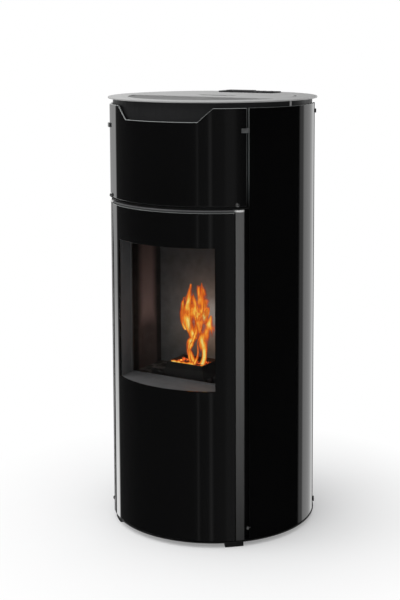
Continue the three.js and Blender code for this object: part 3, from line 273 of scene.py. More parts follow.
class Nodes:
    """Fills a node tree. Each call adds one node, and all but add give back what it
    puts out. An input is a plain value or the socket that it is linked to."""

    def __init__(self, tree):
        self.tree = tree

    def fill(self, made, inputs):
        for key, value in inputs.items():
            socket = made.inputs[key]
            if isinstance(value, bpy.types.NodeSocket):
                self.tree.links.new(value, socket)
            else:
                socket.default_value = (*value, 1.0) if socket.type == "RGBA" else value

    def add(self, kind, inputs=None, **settings):
        made = self.tree.nodes.new(kind)
        for key, value in settings.items():
            setattr(made, key, value)
        self.fill(made, inputs or {})
        return made

    def calc(self, operation, *values, **settings):
        inputs = dict(enumerate(values))
        return self.add("ShaderNodeMath", inputs, operation=operation, **settings).outputs[0]

    def vector(self, operation, *values, result="Vector"):
        return self.add("ShaderNodeVectorMath", dict(enumerate(values)), operation=operation).outputs[result]

    def spread(self, value, start, end, low=0.0, high=1.0, **settings):
        return self.add("ShaderNodeMapRange", {
            "Value": value, "From Min": start, "From Max": end, "To Min": low, "To Max": high,
        }, **settings).outputs["Result"]

    def noise(self, place, scale, detail, **inputs):
        inputs = {"Vector": place, "Scale": scale, "Detail": detail, **inputs}
        return self.add("ShaderNodeTexNoise", inputs).outputs["Fac"]

    def cells(self, place, scale, result):
        return self.add("ShaderNodeTexVoronoi", {"Vector": place, "Scale": scale}).outputs[result]

    def blend(self, share, first, second):
        return self.add("ShaderNodeMix", {0: share, 6: first, 7: second}, data_type="RGBA").outputs[2]

    def axes(self, vector):
        return tuple(self.add("ShaderNodeSeparateXYZ", {"Vector": vector}).outputs)

    def ramp(self, value, stops):
        made = self.add("ShaderNodeValToRGB", {"Fac": value})
        elements = made.color_ramp.elements
        while len(elements) > 1:
            elements.remove(elements[-1])
        for index, (position, tint) in enumerate(stops):
            element = elements.new(position) if index else elements[0]
            element.position = position
            element.color = (*tint, 1.0)
        return made.outputs["Color"]

    def effect(self, name, **inputs):
        return self.add("ShaderNodeGroup", spaced(inputs), node_tree=bpy.data.node_groups[name]).outputs[0]


# ---- effects
# how bright the studio is in each direction, in degrees from the stove's front
STUDIO_BRIGHTNESS = (
    (-180, 0.9), (-174, 1.0), (-169, 0.8), (-166, 0.05), (-152, 0.05), (-149, 0.6), (-131, 0.6), (-127, 0.45),
    (-116, 0.65), (-105, 1.0), (-102.5, 0.05), (-60, 0.03), (-20, 0.035), (6, 0.045), (12, 0.06), (14, 0.16),
    (16, 0.06), (25, 0.07), (28, 0.22), (31, 0.07), (42, 0.08), (46, 0.13), (54, 0.13), (58, 0.06),
    (70, 0.006), (143, 0.006), (146, 0.28), (152, 0.28), (155, 0.85), (172, 0.75), (180, 0.9),
)
# low on the left the studio's floor is brighter, and beyond it a dark curtain hangs:
# middle and reach in degrees, the direction's z where each starts and is full, its gain
STUDIO_PATCHES = ((-108.5, 7.5, -0.20, -0.34, 1.6), (-134, 18, -0.14, -0.17, -0.95))
STUDIO_LEVEL = 1.3


def patchy_value(nodes, place, scale, low, high):
    return nodes.spread(nodes.noise(place, scale, 5.0, Roughness=0.6), 0.32, 0.68, low, high)


def patchy_colour(nodes, place, scale, first, second):
    share = nodes.spread(nodes.noise(place, scale, 6.0, Roughness=0.65), 0.35, 0.65)
    return nodes.blend(share, first, second)


def paint_grain(nodes, place, scale):
    return nodes.calc("ADD", nodes.noise(place, scale, 2.0), nodes.cells(place, scale, "Distance"))


def upright_brushing(nodes, place, fineness):
    return nodes.noise(nodes.vector("MULTIPLY", place, (900.0, 900.0, 9.0)), fineness, 3.0)


def soot_by_height(nodes, place, clean, dirty, scale):
    climb = nodes.spread(nodes.axes(place)[2], clean, dirty)
    return nodes.spread(nodes.calc("ADD", climb, nodes.noise(place, scale, 7.0, Distortion=0.6)), 0.35, 1.45)


def handled_gloss(nodes, place, clean, smudged):
    broad, fine = nodes.noise(place, 7.0, 4.0, Distortion=0.9), nodes.noise(place, 160.0, 3.0)
    return nodes.spread(nodes.calc("MULTIPLY", broad, fine), 0.22, 0.42, clean, smudged)


def rope_braid(nodes, place, scale):
    turned = nodes.vector("MULTIPLY", place, (-1.0, 1.0, 1.0))
    return nodes.calc("MAXIMUM", *(nodes.add(
        "ShaderNodeTexWave", {"Vector": way, "Scale": scale, "Distortion": 1.5},
        bands_direction="DIAGONAL").outputs["Fac"] for way in (place, turned)))


def surroundings(nodes, place):
    x, y, z = nodes.axes(place)
    angle = nodes.calc("ARCTAN2", x, nodes.calc("MULTIPLY", y, -1.0))
    level = nodes.ramp(nodes.spread(angle, -math.pi, math.pi), [
        ((degrees + 180) / 360, (value, value, value)) for degrees, value in STUDIO_BRIGHTNESS])
    gain = 1.0
    for middle, reach, start, full, amount in STUDIO_PATCHES:
        within = nodes.calc("COMPARE", angle, math.radians(middle), math.radians(reach))
        gain = nodes.calc("MULTIPLY_ADD", within, nodes.spread(z, start, full, 0.0, amount), gain)
    return nodes.calc("MULTIPLY", level, gain)


# each effect, its inputs after the place with their first values, and what it puts out
EFFECTS = (
    (patchy_value, {"Scale": 10.0, "Low": 0.3, "High": 0.5}, "Value"),
    (patchy_colour, {"Scale": 10.0, "Colour A": (1, 1, 1, 1), "Colour B": (0, 0, 0, 1)}, "Color"),
    (paint_grain, {"Scale": 900.0}, "Height"),
    (upright_brushing, {"Fineness": 1.0}, "Value"),
    (soot_by_height, {"Clean Height": 0.4, "Sooty Height": 0.75, "Scale": 14.0}, "Mask"),
    (handled_gloss, {"Clean": 0.03, "Smudged": 0.09}, "Roughness"),
    (rope_braid, {"Scale": 260.0}, "Height"),
    (surroundings, {}, "Brightness"),
)


def add_effects():
    """The shared effects, as node groups: each gives a varying value, colour or height."""
    for build, inputs, result in EFFECTS:
        if build.__name__ in bpy.data.node_groups:
            continue
        group = bpy.data.node_groups.new(build.__name__, "ShaderNodeTree")
        group.interface.new_socket(name="Vector", in_out="INPUT", socket_type="NodeSocketVector")
        for label, default in inputs.items():
            kind = "NodeSocketColor" if isinstance(default, tuple) else "NodeSocketFloat"
            group.interface.new_socket(name=label, in_out="INPUT", socket_type=kind).default_value = default
        kind = "NodeSocketColor" if result == "Color" else "NodeSocketFloat"
        group.interface.new_socket(name=result, in_out="OUTPUT", socket_type=kind)
        nodes = Nodes(group)
        start = nodes.add("NodeGroupInput").outputs
        made = build(nodes, *(start[label] for label in ("Vector", *inputs)))
        nodes.add("NodeGroupOutput", {result: made})


# ---- finishes
class Finish(Nodes):
    """A material with a Principled shader, its plain numbers set on the shader itself."""

    def __init__(self, name, **constants):
        if name in bpy.data.materials:
            bpy.data.materials.remove(bpy.data.materials[name])
        self.material = bpy.data.materials.new(name)
        self.material.use_nodes = True
        super().__init__(self.material.node_tree)
        coordinates = self.add("ShaderNodeTexCoord").outputs
        self.place, self.normal = coordinates["Object"], coordinates["Normal"]
        self.drive(**constants)

    def drive(self, **inputs):
        self.fill(self.tree.nodes["Principled BSDF"], spaced(inputs))

    def effect(self, name, **inputs):
        return super().effect(name, Vector=self.place, **inputs)

    def patches(self, scale, first, second):
        return self.effect("patchy_colour", Scale=scale, Colour_A=first, Colour_B=second)

    def rough(self, scale, low, high):
        self.drive(Roughness=self.effect("patchy_value", Scale=scale, Low=low, High=high))

    def gloss(self, clean, smudged):
        self.drive(Roughness=self.effect("handled_gloss", Clean=clean, Smudged=smudged))

    def relief(self, height, strength, distance):
        self.drive(Normal=self.add("ShaderNodeBump", {
            "Height": height, "Strength": strength, "Distance": distance}).outputs["Normal"])


def tinted(values, share):
    return tuple(min(1.0, value * share) for value in values)


def painted(name, tint, low, high, grain=900.0, depth=0.00004, patchy=0.12, **constants):
    """Sprayed or moulded surface: patchy tint and roughness over a fine grain."""
    made = Finish(name, **constants)
    made.drive(Base_Color=made.patches(9.0, tinted(tint, 1 - patchy), tinted(tint, 1 + patchy)))
    made.rough(24.0, low, high)
    made.relief(made.effect("paint_grain", Scale=grain), 0.5, depth)
    return made


def sooty(name, tint, soot, clean, dirty, grain=320.0, depth=0.0003):
    """Cast or fire-facing surface: soot gathers with height over a rough grain."""
    made = Finish(name, Metallic=0.1)
    mask = made.effect("soot_by_height", Clean_Height=clean, Sooty_Height=dirty)
    made.drive(Base_Color=made.blend(mask, made.patches(30.0, tinted(tint, 0.85), tinted(tint, 1.15)), soot))
    made.rough(40.0, 0.65, 0.9)
    made.relief(made.effect("paint_grain", Scale=grain), 0.6, depth)
    return made


def black_glass_finish(tint):
    """Glass enamelled black behind. Over the window its ground edges, where the normal turns away from the
    drum's radius, and its upward faces are painted light grey: a painted highlight."""
    made = Finish("enamelled_black_glass", Metallic=0.0, Coat_Weight=0.0, IOR=1.5)
    height = made.axes(made.place)[2]
    radial = made.vector("NORMALIZE", made.vector("MULTIPLY", made.place, (1.0, 1.0, 0.0)))
    along = made.vector("DOT_PRODUCT", made.normal, radial, result="Value")
    turned = made.spread(made.calc("ABSOLUTE", along), 0.95, 0.75)
    upright = made.calc("MULTIPLY", turned, made.spread(height, 0.86, 0.95))
    upward = made.spread(made.axes(made.normal)[2], 0.2, 0.6)
    top = made.calc("MULTIPLY", upward, made.calc("GREATER_THAN", height, 0.8))
    enamel = made.patches(3.0, tinted(tint, 0.9), tinted(tint, 1.2))
    # painted highlight: light grey on the edges and upward faces over the window, in the base colour
    made.drive(Base_Color=made.blend(made.calc("MAXIMUM", upright, top), enamel, (0.42, 0.44, 0.43)))
    made.gloss(0.0, 0.035)
    return made


def brushed_finish(name, tint, metallic, low, high, foot=1.0):
    """Steel brushed upright, with painted shade that darkens it towards the floor; foot is how much of its
    colour is left at the floor.
    """
    made = Finish(name, Metallic=metallic)
    brushing = made.effect("upright_brushing", Fineness=1.0)
    steel = made.blend(brushing, tinted(tint, 0.82), tinted(tint, 1.2))
    # painted shade: the colour falls to foot of itself at the floor and is full from half a metre up
    climb = made.spread(made.axes(made.place)[2], 0.0, 0.5, foot, 1.0)
    shaded_to_foot = made.add("ShaderNodeVectorMath", {0: steel, "Scale": climb}, operation="SCALE")
    made.drive(Base_Color=shaded_to_foot.outputs[0])
    made.rough(16.0, low, high)
    made.relief(brushing, 0.35, 0.00006)
    return made


def ash_finish():
    """Cast iron with pale fly ash lying in drifts on its upper faces."""
    made = Finish("ash_dusted_iron", Metallic=0.0)
    drift = made.noise(made.place, 26.0, 8.0, Distortion=0.8)
    cover = made.spread(drift, 0.45, 0.72)
    made.drive(Base_Color=made.blend(cover, (0.014, 0.014, 0.013), (0.24, 0.235, 0.225)))
    made.rough(60.0, 0.75, 1.0)
    made.relief(drift, 0.7, 0.0008)
    return made


def side_wall_finish(low, high):
    """Fire lining with painted light: a brownish grey middle is a painted reflection of the flames, and
    painted shade darkens it towards the wall's front and rear edges and at its foot."""
    made = Finish("side_lining_painted_firelight", Metallic=0.0)
    _, back, height = made.axes(made.place)
    middle, depth = (low[1] + high[1]) / 2, high[1] - low[1]
    away = made.calc("ABSOLUTE", made.calc("SUBTRACT", back, middle))
    edge = made.spread(away, 0.12 * depth, 0.40 * depth, interpolation_type="SMOOTHSTEP")
    foot = made.spread(height, 0.56, 0.50, 0.0, 0.75, interpolation_type="SMOOTHSTEP")
    drift = made.calc("MULTIPLY_ADD", made.noise(made.place, 22.0, 6.0), 0.3, -0.15)
    mask = made.calc("ADD", made.calc("MAXIMUM", edge, foot), drift, use_clamp=True)
    # painted light: brownish grey for the flames' reflection in the middle, near black for painted shade at
    # the edges and the foot
    made.drive(Base_Color=made.blend(mask, (0.290, 0.210, 0.200), (0.008, 0.008, 0.008)))
    made.rough(40.0, 0.7, 0.95)
    made.relief(made.effect("paint_grain", Scale=160.0), 0.6, 0.0002)
    return made


def zinc_finish():
    """Galvanised sheet with its spangle."""
    made = Finish("galvanised_sheet", Metallic=0.85)
    spangle = made.cells(made.place, 110.0, "Color")
    made.drive(Base_Color=made.blend(spangle, (0.30, 0.31, 0.31), (0.46, 0.47, 0.47)))
    made.rough(60.0, 0.3, 0.5)
    return made


def pane_finish():
    """Clear glass of the window, faintly smudged."""
    made = Finish(
        "ceramic_window", Base_Color=(0.87, 0.86, 0.85), Metallic=0.0, Transmission_Weight=1.0, IOR=1.45)
    made.gloss(0.0, 0.03)
    return made


def rope_finish():
    """Dark rope with the relief of its braid."""
    made = Finish("braided_seal", Metallic=0.0)
    made.drive(Base_Color=made.patches(90.0, (0.02, 0.019, 0.018), (0.045, 0.042, 0.038)))
    made.rough(200.0, 0.85, 1.0)
    made.relief(made.effect("rope_braid", Scale=60.0), 0.9, 0.0009)
    return made


def ember_finish():
    """Charred pellets that glow in patches."""
    made = Finish("glowing_pellets", Metallic=0.0, Emission_Strength=1.6)
    made.drive(Emission_Color=made.ramp(made.noise(made.place, 70.0, 4.0), [
        (0.0, (0, 0, 0)), (0.47, (0.01, 0.001, 0)), (0.56, (0.75, 0.09, 0.01)), (0.7, (1.0, 0.42, 0.06))]))
    made.drive(Base_Color=made.patches(140.0, (0.010, 0.008, 0.007), (0.09, 0.075, 0.06)))
    made.rough(90.0, 0.75, 1.0)
    return made


def flame_finish(core, edge):
    """Flame seen by its map: across 0 to 1 from edge to edge, along 0 at the root.
    Heat falls from the middle to the edges and upwards, and noise licks into it."""
    made = Finish("flame", Base_Color=(0, 0, 0), Metallic=0.0, Roughness=1.0, Specular_IOR_Level=0.0,
                  Emission_Strength=1.0)
    across, along, _ = made.axes(made.add("ShaderNodeUVMap", uv_map="UVMap").outputs["UV"])
    side = made.calc("ABSOLUTE", made.calc("SUBTRACT", across, 0.5))
    drawn = made.vector("MULTIPLY", made.place, (1.0, 1.0, 0.45))
    curl = made.noise(drawn, 44.0, 3.0, Roughness=0.5, Distortion=1.0)
    lick = made.calc("MULTIPLY_ADD", curl, 2.4, -1.15)
    rise = made.calc("MULTIPLY_ADD", along, 0.55, -0.08)
    cooled = made.calc("ADD", made.calc("ADD", made.calc("MULTIPLY", side, 1.75), lick), rise)
    made.drive(Emission_Color=made.ramp(cooled, [
        (0.0, (1.0, 0.80, 0.24)), (0.22, core), (0.5, (0.95, 0.24, 0.018)), (0.75, edge),
        (1.0, (0.30, 0.03, 0.008))]))
    made.drive(Alpha=made.spread(cooled, 0.62, 1.12, 0.95, 0.0))
    return made


def display_finish():
    """Dark lens over the display."""
    made = Finish("display_lens", Metallic=0.0, IOR=1.49)
    made.drive(Base_Color=made.patches(60.0, (0.006, 0.009, 0.008), (0.012, 0.018, 0.015)))
    made.gloss(0.05, 0.14)
    return made


FINISHES = {}


def add_finishes(colours):
    add_effects()
    made = {
        "black_glass": black_glass_finish(colours.black_glass),
        "black_steel": painted("black_powder_coat", (0.010, 0.010, 0.010), 0.45, 0.62, Metallic=0.1),
        "grey_steel": painted("grey_powder_coat", colours.grey_steel, 0.42, 0.6, Metallic=0.1),
        "inner_steel": painted("inner_wall_coat", colours.inner_steel, 0.42, 0.6, Metallic=0.1),
        # painted shade: the uprights keep 0.3 of their colour at the floor
        "column_steel": brushed_finish("brushed_uprights", colours.column_steel, 0.3, 0.32, 0.46, 0.3),
        # painted highlight: the polished caps are light grey where their chrome would shine
        "cap_steel": brushed_finish("polished_caps_painted_highlight", (0.80, 0.80, 0.79), 0.2, 0.16, 0.24),
        "ash_iron": ash_finish(),
        "silver_paint": painted(
            "silver_paint", colours.silver_paint, 0.4, 0.52, 1400.0, 0.00002, 0.03, Metallic=0.25),
        "inset_paint": painted(
            "inset_paint", colours.inset_paint, 0.45, 0.58, 1400.0, 0.00002, 0.04, Metallic=0.2),
        "chrome": brushed_finish("chromed_studs", (0.78, 0.78, 0.78), 1.0, 0.06, 0.14),
        "cast_iron": sooty("cast_iron", (0.034, 0.035, 0.034), (0.008, 0.008, 0.008), 0.42, 1.1),
        "fire_lining": sooty(
            "fire_lining", (0.280, 0.335, 0.375), (0.155, 0.180, 0.200), 0.6, 1.35, 160.0, 0.0002),
        "side_lining_painted_firelight": side_wall_finish(*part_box("firebox_left_wall")),
        "ceramic_pane": pane_finish(),
        "seal_rope": rope_finish(),
        "zinc": zinc_finish(),
        "rubber": painted("rubber_feet", (0.008, 0.008, 0.008), 0.75, 0.95, 500.0, 0.0001, Metallic=0.0),
        "black_plastic": painted(
            "moulded_black", (0.014, 0.014, 0.015), 0.38, 0.5, 1200.0, 0.00003, Metallic=0.0),
        "motor_case": painted("motor_case", (0.11, 0.12, 0.125), 0.35, 0.5, 600.0, 0.00006, Metallic=0.7),
        "display": display_finish(),
        "embers": ember_finish(),
        "flame": flame_finish(colours.flame_core, colours.flame_edge),
    }
    FINISHES.update({kind: finish.material for kind, finish in made.items()})


CAD_FINISHES = {
    "black_steel": (
        "base_plate", "front_frame", "panel_rail_left", "panel_rail_right", "rear_cover",
        "lid_handle", "firebox_pedestal", "ash_drawer"),
    "rubber": ("foot_front_left", "foot_front_right", "foot_rear_left", "foot_rear_right"),
    "grey_steel": ("door_frame", "pane_retainer", "button_power", "button_down", "button_up"),
    "inner_steel": ("inner_shell",),
    "ash_iron": ("firebox_floor",),
    "chrome": ("upper_stud_left", "upper_stud_right", "side_stud_left", "side_stud_right"),
    "zinc": (
        "upper_clip_left", "upper_clip_right", "lid_hinge_pin", "hopper", "auger_tube", "auger_screw",
        "pellet_chute", "smoke_duct", "exhaust_impeller", "room_fan_housing", "room_fan_rotor"),
    "black_plastic": ("control_console", "mains_inlet", "main_switch"),
    "display": ("display_window",),
    "cast_iron": ("firebox_front", "firebox_roof", "exhaust_fan_housing", "burn_pot"),
    "fire_lining": ("firebox_back_wall",),
    "side_lining_painted_firelight": ("firebox_left_wall", "firebox_right_wall"),
    "ceramic_pane": ("window_pane",),
    "motor_case": ("auger_gear_motor", "exhaust_motor"),
}
SOFT_EDGES = {
    0.0003: ("display_window",),
    0.0006: (
        "control_console", "lid_handle", "button_power", "button_down", "button_up", "upper_clip_left",
        "upper_clip_right", "door_frame"),
    0.0010: ("main_switch",),
    0.0012: ("burn_pot",),
}


# ---- shape functions
def curved_panel(radius, thickness, start, end, low, high):
    """A sheet bent round the drum's axis: the angle runs one way and the height the
    other, once at the outer radius and once at the inner."""
    angles = stations(start, end)[:, None]
    heights = np.array([low, (low + high) / 2, high])[None, :]
    return plate(polar(radius, angles, heights), polar(radius - thickness, angles, heights))


def panel_stations(edges, radius, end):
    """Angles that run from one end of a panel to the other and pass through the
    straight uprights at the given distances from the middle."""
    stops = [-end] + [math.asin(edge / radius) for edge in edges] + [end]
    counts = [13 if index in (0, len(stops) - 2) else 33 for index in range(len(stops) - 1)]
    rows = [np.linspace(a, b, count)[:-1] for a, b, count in zip(stops, stops[1:], counts)]
    return np.concatenate(rows + [np.array([end])])


def door_glass_shape(sizes):
    """The door's bent glass: angle by height, with the cells of the window left open.
    The window's sides are upright planes, so each face meets them at its own angle."""
    low, high = (corner[2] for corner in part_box("door_glass"))
    heights = np.array([low, sizes.window_low, sizes.window_high, high])[None, :]

    def face(radius):
        edges = (-sizes.window_half, sizes.window_half)
        return polar(radius, panel_stations(edges, radius, DOOR_GLASS_END)[:, None], heights)

    outer = face(sizes.front_radius)
    kept = np.ones((outer.shape[0] - 1, 3), dtype=bool)
    middle = (outer[:-1, 0, 0] + outer[1:, 0, 0]) / 2
    kept[np.abs(middle) < sizes.window_half, 1] = False
    return plate(outer, face(sizes.front_radius - sizes.glass), kept)


def upper_glass_shape(sizes):
    """The glass over the door: angle by height, whose top edge is a function of the
    distance from the middle: level, down a slope, level across the notch, and back."""
    top_half, low_half, depth = 0.1395, 0.106, 0.034
    low, high = (corner[2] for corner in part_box("upper_glass_panel"))

    def face(radius):
        angles = panel_stations((-top_half, -low_half, low_half, top_half), radius, UPPER_GLASS_END)
        across = np.abs(radius * np.sin(angles))
        top = high - depth * np.clip((top_half - across) / (top_half - low_half), 0.0, 1.0)
        share = np.array([0.0, 0.5, 1.0])
        return polar(radius, angles[:, None], low + (top[:, None] - low) * share)

    return plate(face(sizes.front_radius), face(sizes.front_radius - sizes.glass))


def disc_ring_shape(sizes):
    """The disc's ring: a rounded section carried round the axis. Its inner edge
    follows the well, a circle cut off straight at the back."""
    sides, well_back, round_off, lip = 360, 0.174, 0.0014, 0.0006
    angles = full_turn(sides)
    inner = np.minimum(sizes.well_radius, well_back / np.maximum(-np.cos(angles), 1e-6))
    top, low = sizes.disc_top, sizes.disc_top - DISC_THICKNESS
    turn = np.linspace(0, math.pi / 2, 4)
    outer_r = np.concatenate([
        sizes.disc_radius - round_off + round_off * np.sin(turn),
        sizes.disc_radius - round_off + round_off * np.cos(turn)])
    outer_z = np.concatenate([
        top - round_off + round_off * np.cos(turn), low + round_off - round_off * np.sin(turn)])
    outer = np.broadcast_to(outer_r, (sides, outer_r.size))
    radii = np.concatenate([np.stack([inner, inner, inner + lip], axis=1), outer], axis=1)
    heights = np.concatenate([[low, top - lip, top], outer_z])
    return loop_tube(polar(radii, angles[:, None], heights[None, :]))


def ledge_shape(sizes):
    """The ring under the disc that carries the lid and the plate before it."""
    inner, outer, step, gap = 0.208, 0.230, 0.2224, 0.0001
    top = sizes.disc_top - DISC_THICKNESS
    radii = np.array([inner, outer, outer, step, step, inner])[None, :]
    heights = np.array([
        top - LEDGE_THICKNESS, top - LEDGE_THICKNESS, top, top, top - gap, top - gap])[None, :]
    return loop_tube(polar(radii, full_turn(240)[:, None], heights))


def lid_shape(sizes):
    """The lid: rows run back and columns across. Each side's half width is a function
    of the row, a circle with its rear corners taken back and, on the right, a shallow
    finger notch; the cells over the hand pocket are left open."""
    low, top = sizes.disc_top - 0.0037, sizes.disc_top
    radius, notch_radius = sizes.well_radius - 0.001, 0.2148
    front, corner_front, back, corner_half = -0.054, 0.157, 0.1633, 0.156
    pocket_front, pocket_back, pocket_half, pocket_column = 0.012, 0.038, 0.054, 8
    notch_front, notch_back = 0.0382, 0.1330
    rows = stations(
        front, pocket_front, pocket_back, 0.0384, 0.1328, 0.1332, corner_front, back, step=0.003)
    corner = corner_half - (rows - corner_front) * 16 / 6.3
    circle = np.sqrt(radius ** 2 - rows ** 2)
    left = np.where(rows > corner_front, np.minimum(circle, corner), circle)
    notched = (rows > notch_front) & (rows < notch_back)
    right = np.where(notched, np.sqrt(notch_radius ** 2 - rows ** 2), left)
    share = np.linspace(0, 1, pocket_column + 1)
    wing_left = -left[:, None] + (left[:, None] - pocket_half) * share
    wing_right = pocket_half + (right[:, None] - pocket_half) * share
    across = np.concatenate([wing_left, wing_right], axis=1)
    kept = np.ones((rows.size - 1, across.shape[1] - 1), dtype=bool)
    middle = (rows[:-1] + rows[1:]) / 2
    kept[(middle > pocket_front) & (middle < pocket_back), pocket_column] = False
    return plate(points_of(across, rows[:, None], top), points_of(across, rows[:, None], low), kept)


def inset_shape(sizes):
    """The plate in front of the lid: rows run back, and each row spans the circle."""
    thickness, back = 0.0015, 0.0567
    radius = sizes.well_radius - 0.0003
    rows = -radius * np.cos(np.linspace(0.0, 1.0, 60) * math.acos(back / radius))
    rows[0] += 1e-5
    half = np.sqrt(np.maximum(radius ** 2 - rows ** 2, 1e-10))
    across = half[:, None] * np.linspace(-1, 1, 25)
    upper = points_of(across, rows[:, None], sizes.disc_top - DISC_THICKNESS + thickness)
    return plate(upper, upper - np.array([0.0, 0.0, thickness]))


def column_shape(sizes, sign, low, top):
    """An upright beside the door: a rounded section, made of two arcs about the drum's
    axis and their softened corners, carried from the foot to the top."""
    start, end, nose, chamfer = COLUMN_START, COLUMN_END, 0.0012, 0.004
    front, back = sizes.front_radius, sizes.front_radius - 0.020
    swing, cut = nose / front, chamfer / back
    angles = np.concatenate([
        np.linspace(start + swing, end - swing, 9), [end - swing * 0.3, end, end],
        [end - cut], np.linspace(end - cut, start + cut, 5)[1:], [start, start], [start + swing * 0.3]])
    radii = np.concatenate([
        np.full(9, front), [front - nose * 0.3, front - nose, back + chamfer],
        [back], np.full(4, back), [back + chamfer, front - nose], [front - nose * 0.3]])
    heights = np.linspace(low, top, 5)[:, None]
    return capped_tube(polar(radii[None, :], sign * angles[None, :], heights))


def pipe_shape(x, z, radius, wall, start, end, bead):
    """A pipe that runs back: a wall section with a swelled bead near its end and a
    rolled lip, carried round the pipe's own axis."""
    lip, roll = 0.0006, 0.0004
    turn = full_turn(72)[:, None]
    along = np.array([
        start, end - 0.034, end - 0.031, end - 0.028, end - 0.025, end - lip, end, end, end - lip, start])
    inner, ring = radius - wall, radius - bead
    middle = (radius + inner) / 2
    radii = np.array([radius, radius, ring, ring, radius, radius, middle + roll, middle - roll, inner, inner])
    return loop_tube(points_of(x + radii * np.cos(turn), along, z + radii * np.sin(turn)))


def rope_shape(low, high, thickness):
    """The door's seal: a flattened round section carried round a rectangle with
    rounded corners."""
    (x0, y0, z0), (x1, y1, z1) = low, high
    half, corner, sides, flatness = thickness / 2, 0.012, 16, 0.7
    left, right, foot, head = x0 + half + corner, x1 - half - corner, z0 + half + corner, z1 - half - corner
    centres, path = ((right, head), (left, head), (left, foot), (right, foot)), []
    for quarter, (centre_x, centre_z) in enumerate(centres):
        angle = quarter * math.pi / 2 + np.linspace(0, math.pi / 2, 7)
        out_x, out_z = np.cos(angle), np.sin(angle)
        path.append(np.stack([centre_x + corner * out_x, centre_z + corner * out_z, out_x, out_z], axis=1))
    line_x, line_z, out_x, out_z = np.concatenate(path).T[:, :, None]
    section = full_turn(sides)
    squash = np.sign(np.sin(section)) * np.abs(np.sin(section)) ** flatness
    out = half * np.cos(section)
    return loop_tube(points_of(
        line_x + out_x * out, (y0 + y1) / 2 + (y1 - y0) / 2 * squash, line_z + out_z * out))


def pellets_shape(count, size):
    """Wood pellets heaped in the pot: each is one short rounded cylinder, turned by
    its own angles and dropped on a heap whose height falls away from its crest."""
    random = np.random.default_rng(11)
    half_x, half_y, mid_y, crest_x = 0.044, 0.034, -0.1035, -0.026
    reach_x, reach_y, pot_floor, bed, heap = 0.026, 0.028, 0.0155, 0.0145, 0.012
    x = random.uniform(-half_x, half_x, count)
    y = random.uniform(-half_y, half_y, count) + mid_y
    crest = np.exp(-((x - crest_x) / reach_x) ** 2 - ((y - mid_y) / reach_y) ** 2)
    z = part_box("burn_pot")[0][2] + pot_floor + random.uniform(0.0, 1.0, count) * (bed + heap * crest)
    yaw, lean = random.uniform(0, math.pi, count), random.normal(0, 0.35, count)
    axis = np.stack([np.cos(yaw) * np.cos(lean), np.sin(yaw) * np.cos(lean), np.sin(lean)], axis=-1)
    side = np.stack([-np.sin(yaw), np.cos(yaw), np.zeros(count)], axis=-1)
    up = np.cross(axis, side)
    turn = full_turn(8)[None, :, None]
    steps = np.array([-0.5, -0.44, 0.44, 0.5]) * size
    radii = np.array([0.0022, 0.003, 0.003, 0.0022])
    ring = np.cos(turn) * side[:, None, :] + np.sin(turn) * up[:, None, :]
    points = (np.stack([x, y, z], axis=-1)[:, None, None, :]
              + steps[None, :, None, None] * axis[:, None, None, :]
              + radii[None, :, None, None] * ring[:, None, :, :])
    single = capped_tube(points[0])[1]
    each = np.concatenate([
        points.reshape(count, -1, 3), points[:, :1].mean(axis=2), points[:, -1:].mean(axis=2)], axis=1)
    faces = single[None, :, :] + (np.arange(count) * each.shape[1])[:, None, None]
    return each.reshape(-1, 3), faces.reshape(-1, 4)


# each tongue of fire in millimetres: x, z and half width along its middle line, then y
TONGUES = (
    (((12, 428, 10), (-4, 455, 12), (-6, 478, 11), (6, 502, 15), (14, 525, 24), (20, 548, 29), (24, 575, 30),
      (26, 605, 27), (22, 640, 12)), -110),
    (((4, 500, 10), (-3, 526, 20), (-11, 548, 26), (-15, 566, 26), (-14, 586, 20), (-8, 608, 12),
      (-3, 640, 4)), -106),
    (((-22, 515, 6), (-27, 535, 12), (-29, 560, 14), (-29, 580, 11), (-27, 602, 3)), -102),
    (((28, 428, 9), (36, 450, 10), (33, 472, 12), (30, 492, 16), (40, 510, 20), (50, 528, 20), (55, 546, 14),
      (57, 562, 4)), -104),
    (((4, 430, 6), (-2, 452, 6), (1, 474, 6), (12, 496, 7), (21, 520, 7), (18, 545, 5), (20, 570, 2)), -118),
    (((14, 430, 5), (22, 446, 6), (26, 466, 6), (24, 486, 5), (30, 504, 2)), -119),
    (((-50, 434, 3), (-25, 433, 6), (2, 432, 9), (22, 432, 9), (40, 431, 8), (50, 436, 3)), -130),
    (((34, 545, 8), (36, 570, 14), (36, 595, 15), (30, 622, 12), (26, 644, 4)), -100),
)


def tongue_shape(line, depth):
    """One tongue of fire: along it runs a smooth middle line, across it the sheet
    spans that place's half width and bows out by a quarter of it."""
    knots = np.linspace(0, 1, len(line))
    along = np.linspace(0, 1, 64)
    window = np.hanning(15)[1:-1] / np.hanning(15).sum()

    def eased(values):
        straight = np.interp(along, knots, values)
        lead, tail = 2 * straight[0] - straight[6:0:-1], 2 * straight[-1] - straight[-2:-8:-1]
        return np.convolve(np.concatenate([lead, straight, tail]), window, mode="valid")

    x, z, half = (eased(values) for values in (np.array(line) / 1000).T)
    half = np.maximum(half, 0.0006)[:, None]
    step = np.stack([np.gradient(x), np.gradient(z)], axis=1)
    step /= np.linalg.norm(step, axis=1)[:, None]
    across = np.linspace(-1, 1, 13)
    points = points_of(
        x[:, None] + across * half * step[:, 1:2], depth / 1000 - 0.25 * half * (1 - across ** 2),
        z[:, None] - across * half * step[:, 0:1])
    return points, points_of(across * 0.5 + 0.5, along[:, None])


# ---- operators
class STOVE_OT_finishes(bpy.types.Operator):
    """Gives every solid of the stove its finish"""
    bl_idname = "stove.finishes"
    bl_label = "Finishes"

    def execute(self, context):
        add_finishes(context.scene.stove_colours)
        for kind, names in CAD_FINISHES.items():
            for name in names:
                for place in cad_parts[name].material_slots:
                    place.material = FINISHES[kind]
        for width, names in SOFT_EDGES.items():
            for name in names:
                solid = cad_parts[name]
                weld = solid.modifiers.new("joined_corners", "WELD")
                weld.merge_threshold = 0.00001
                soften(solid, width)
        return {"FINISHED"}


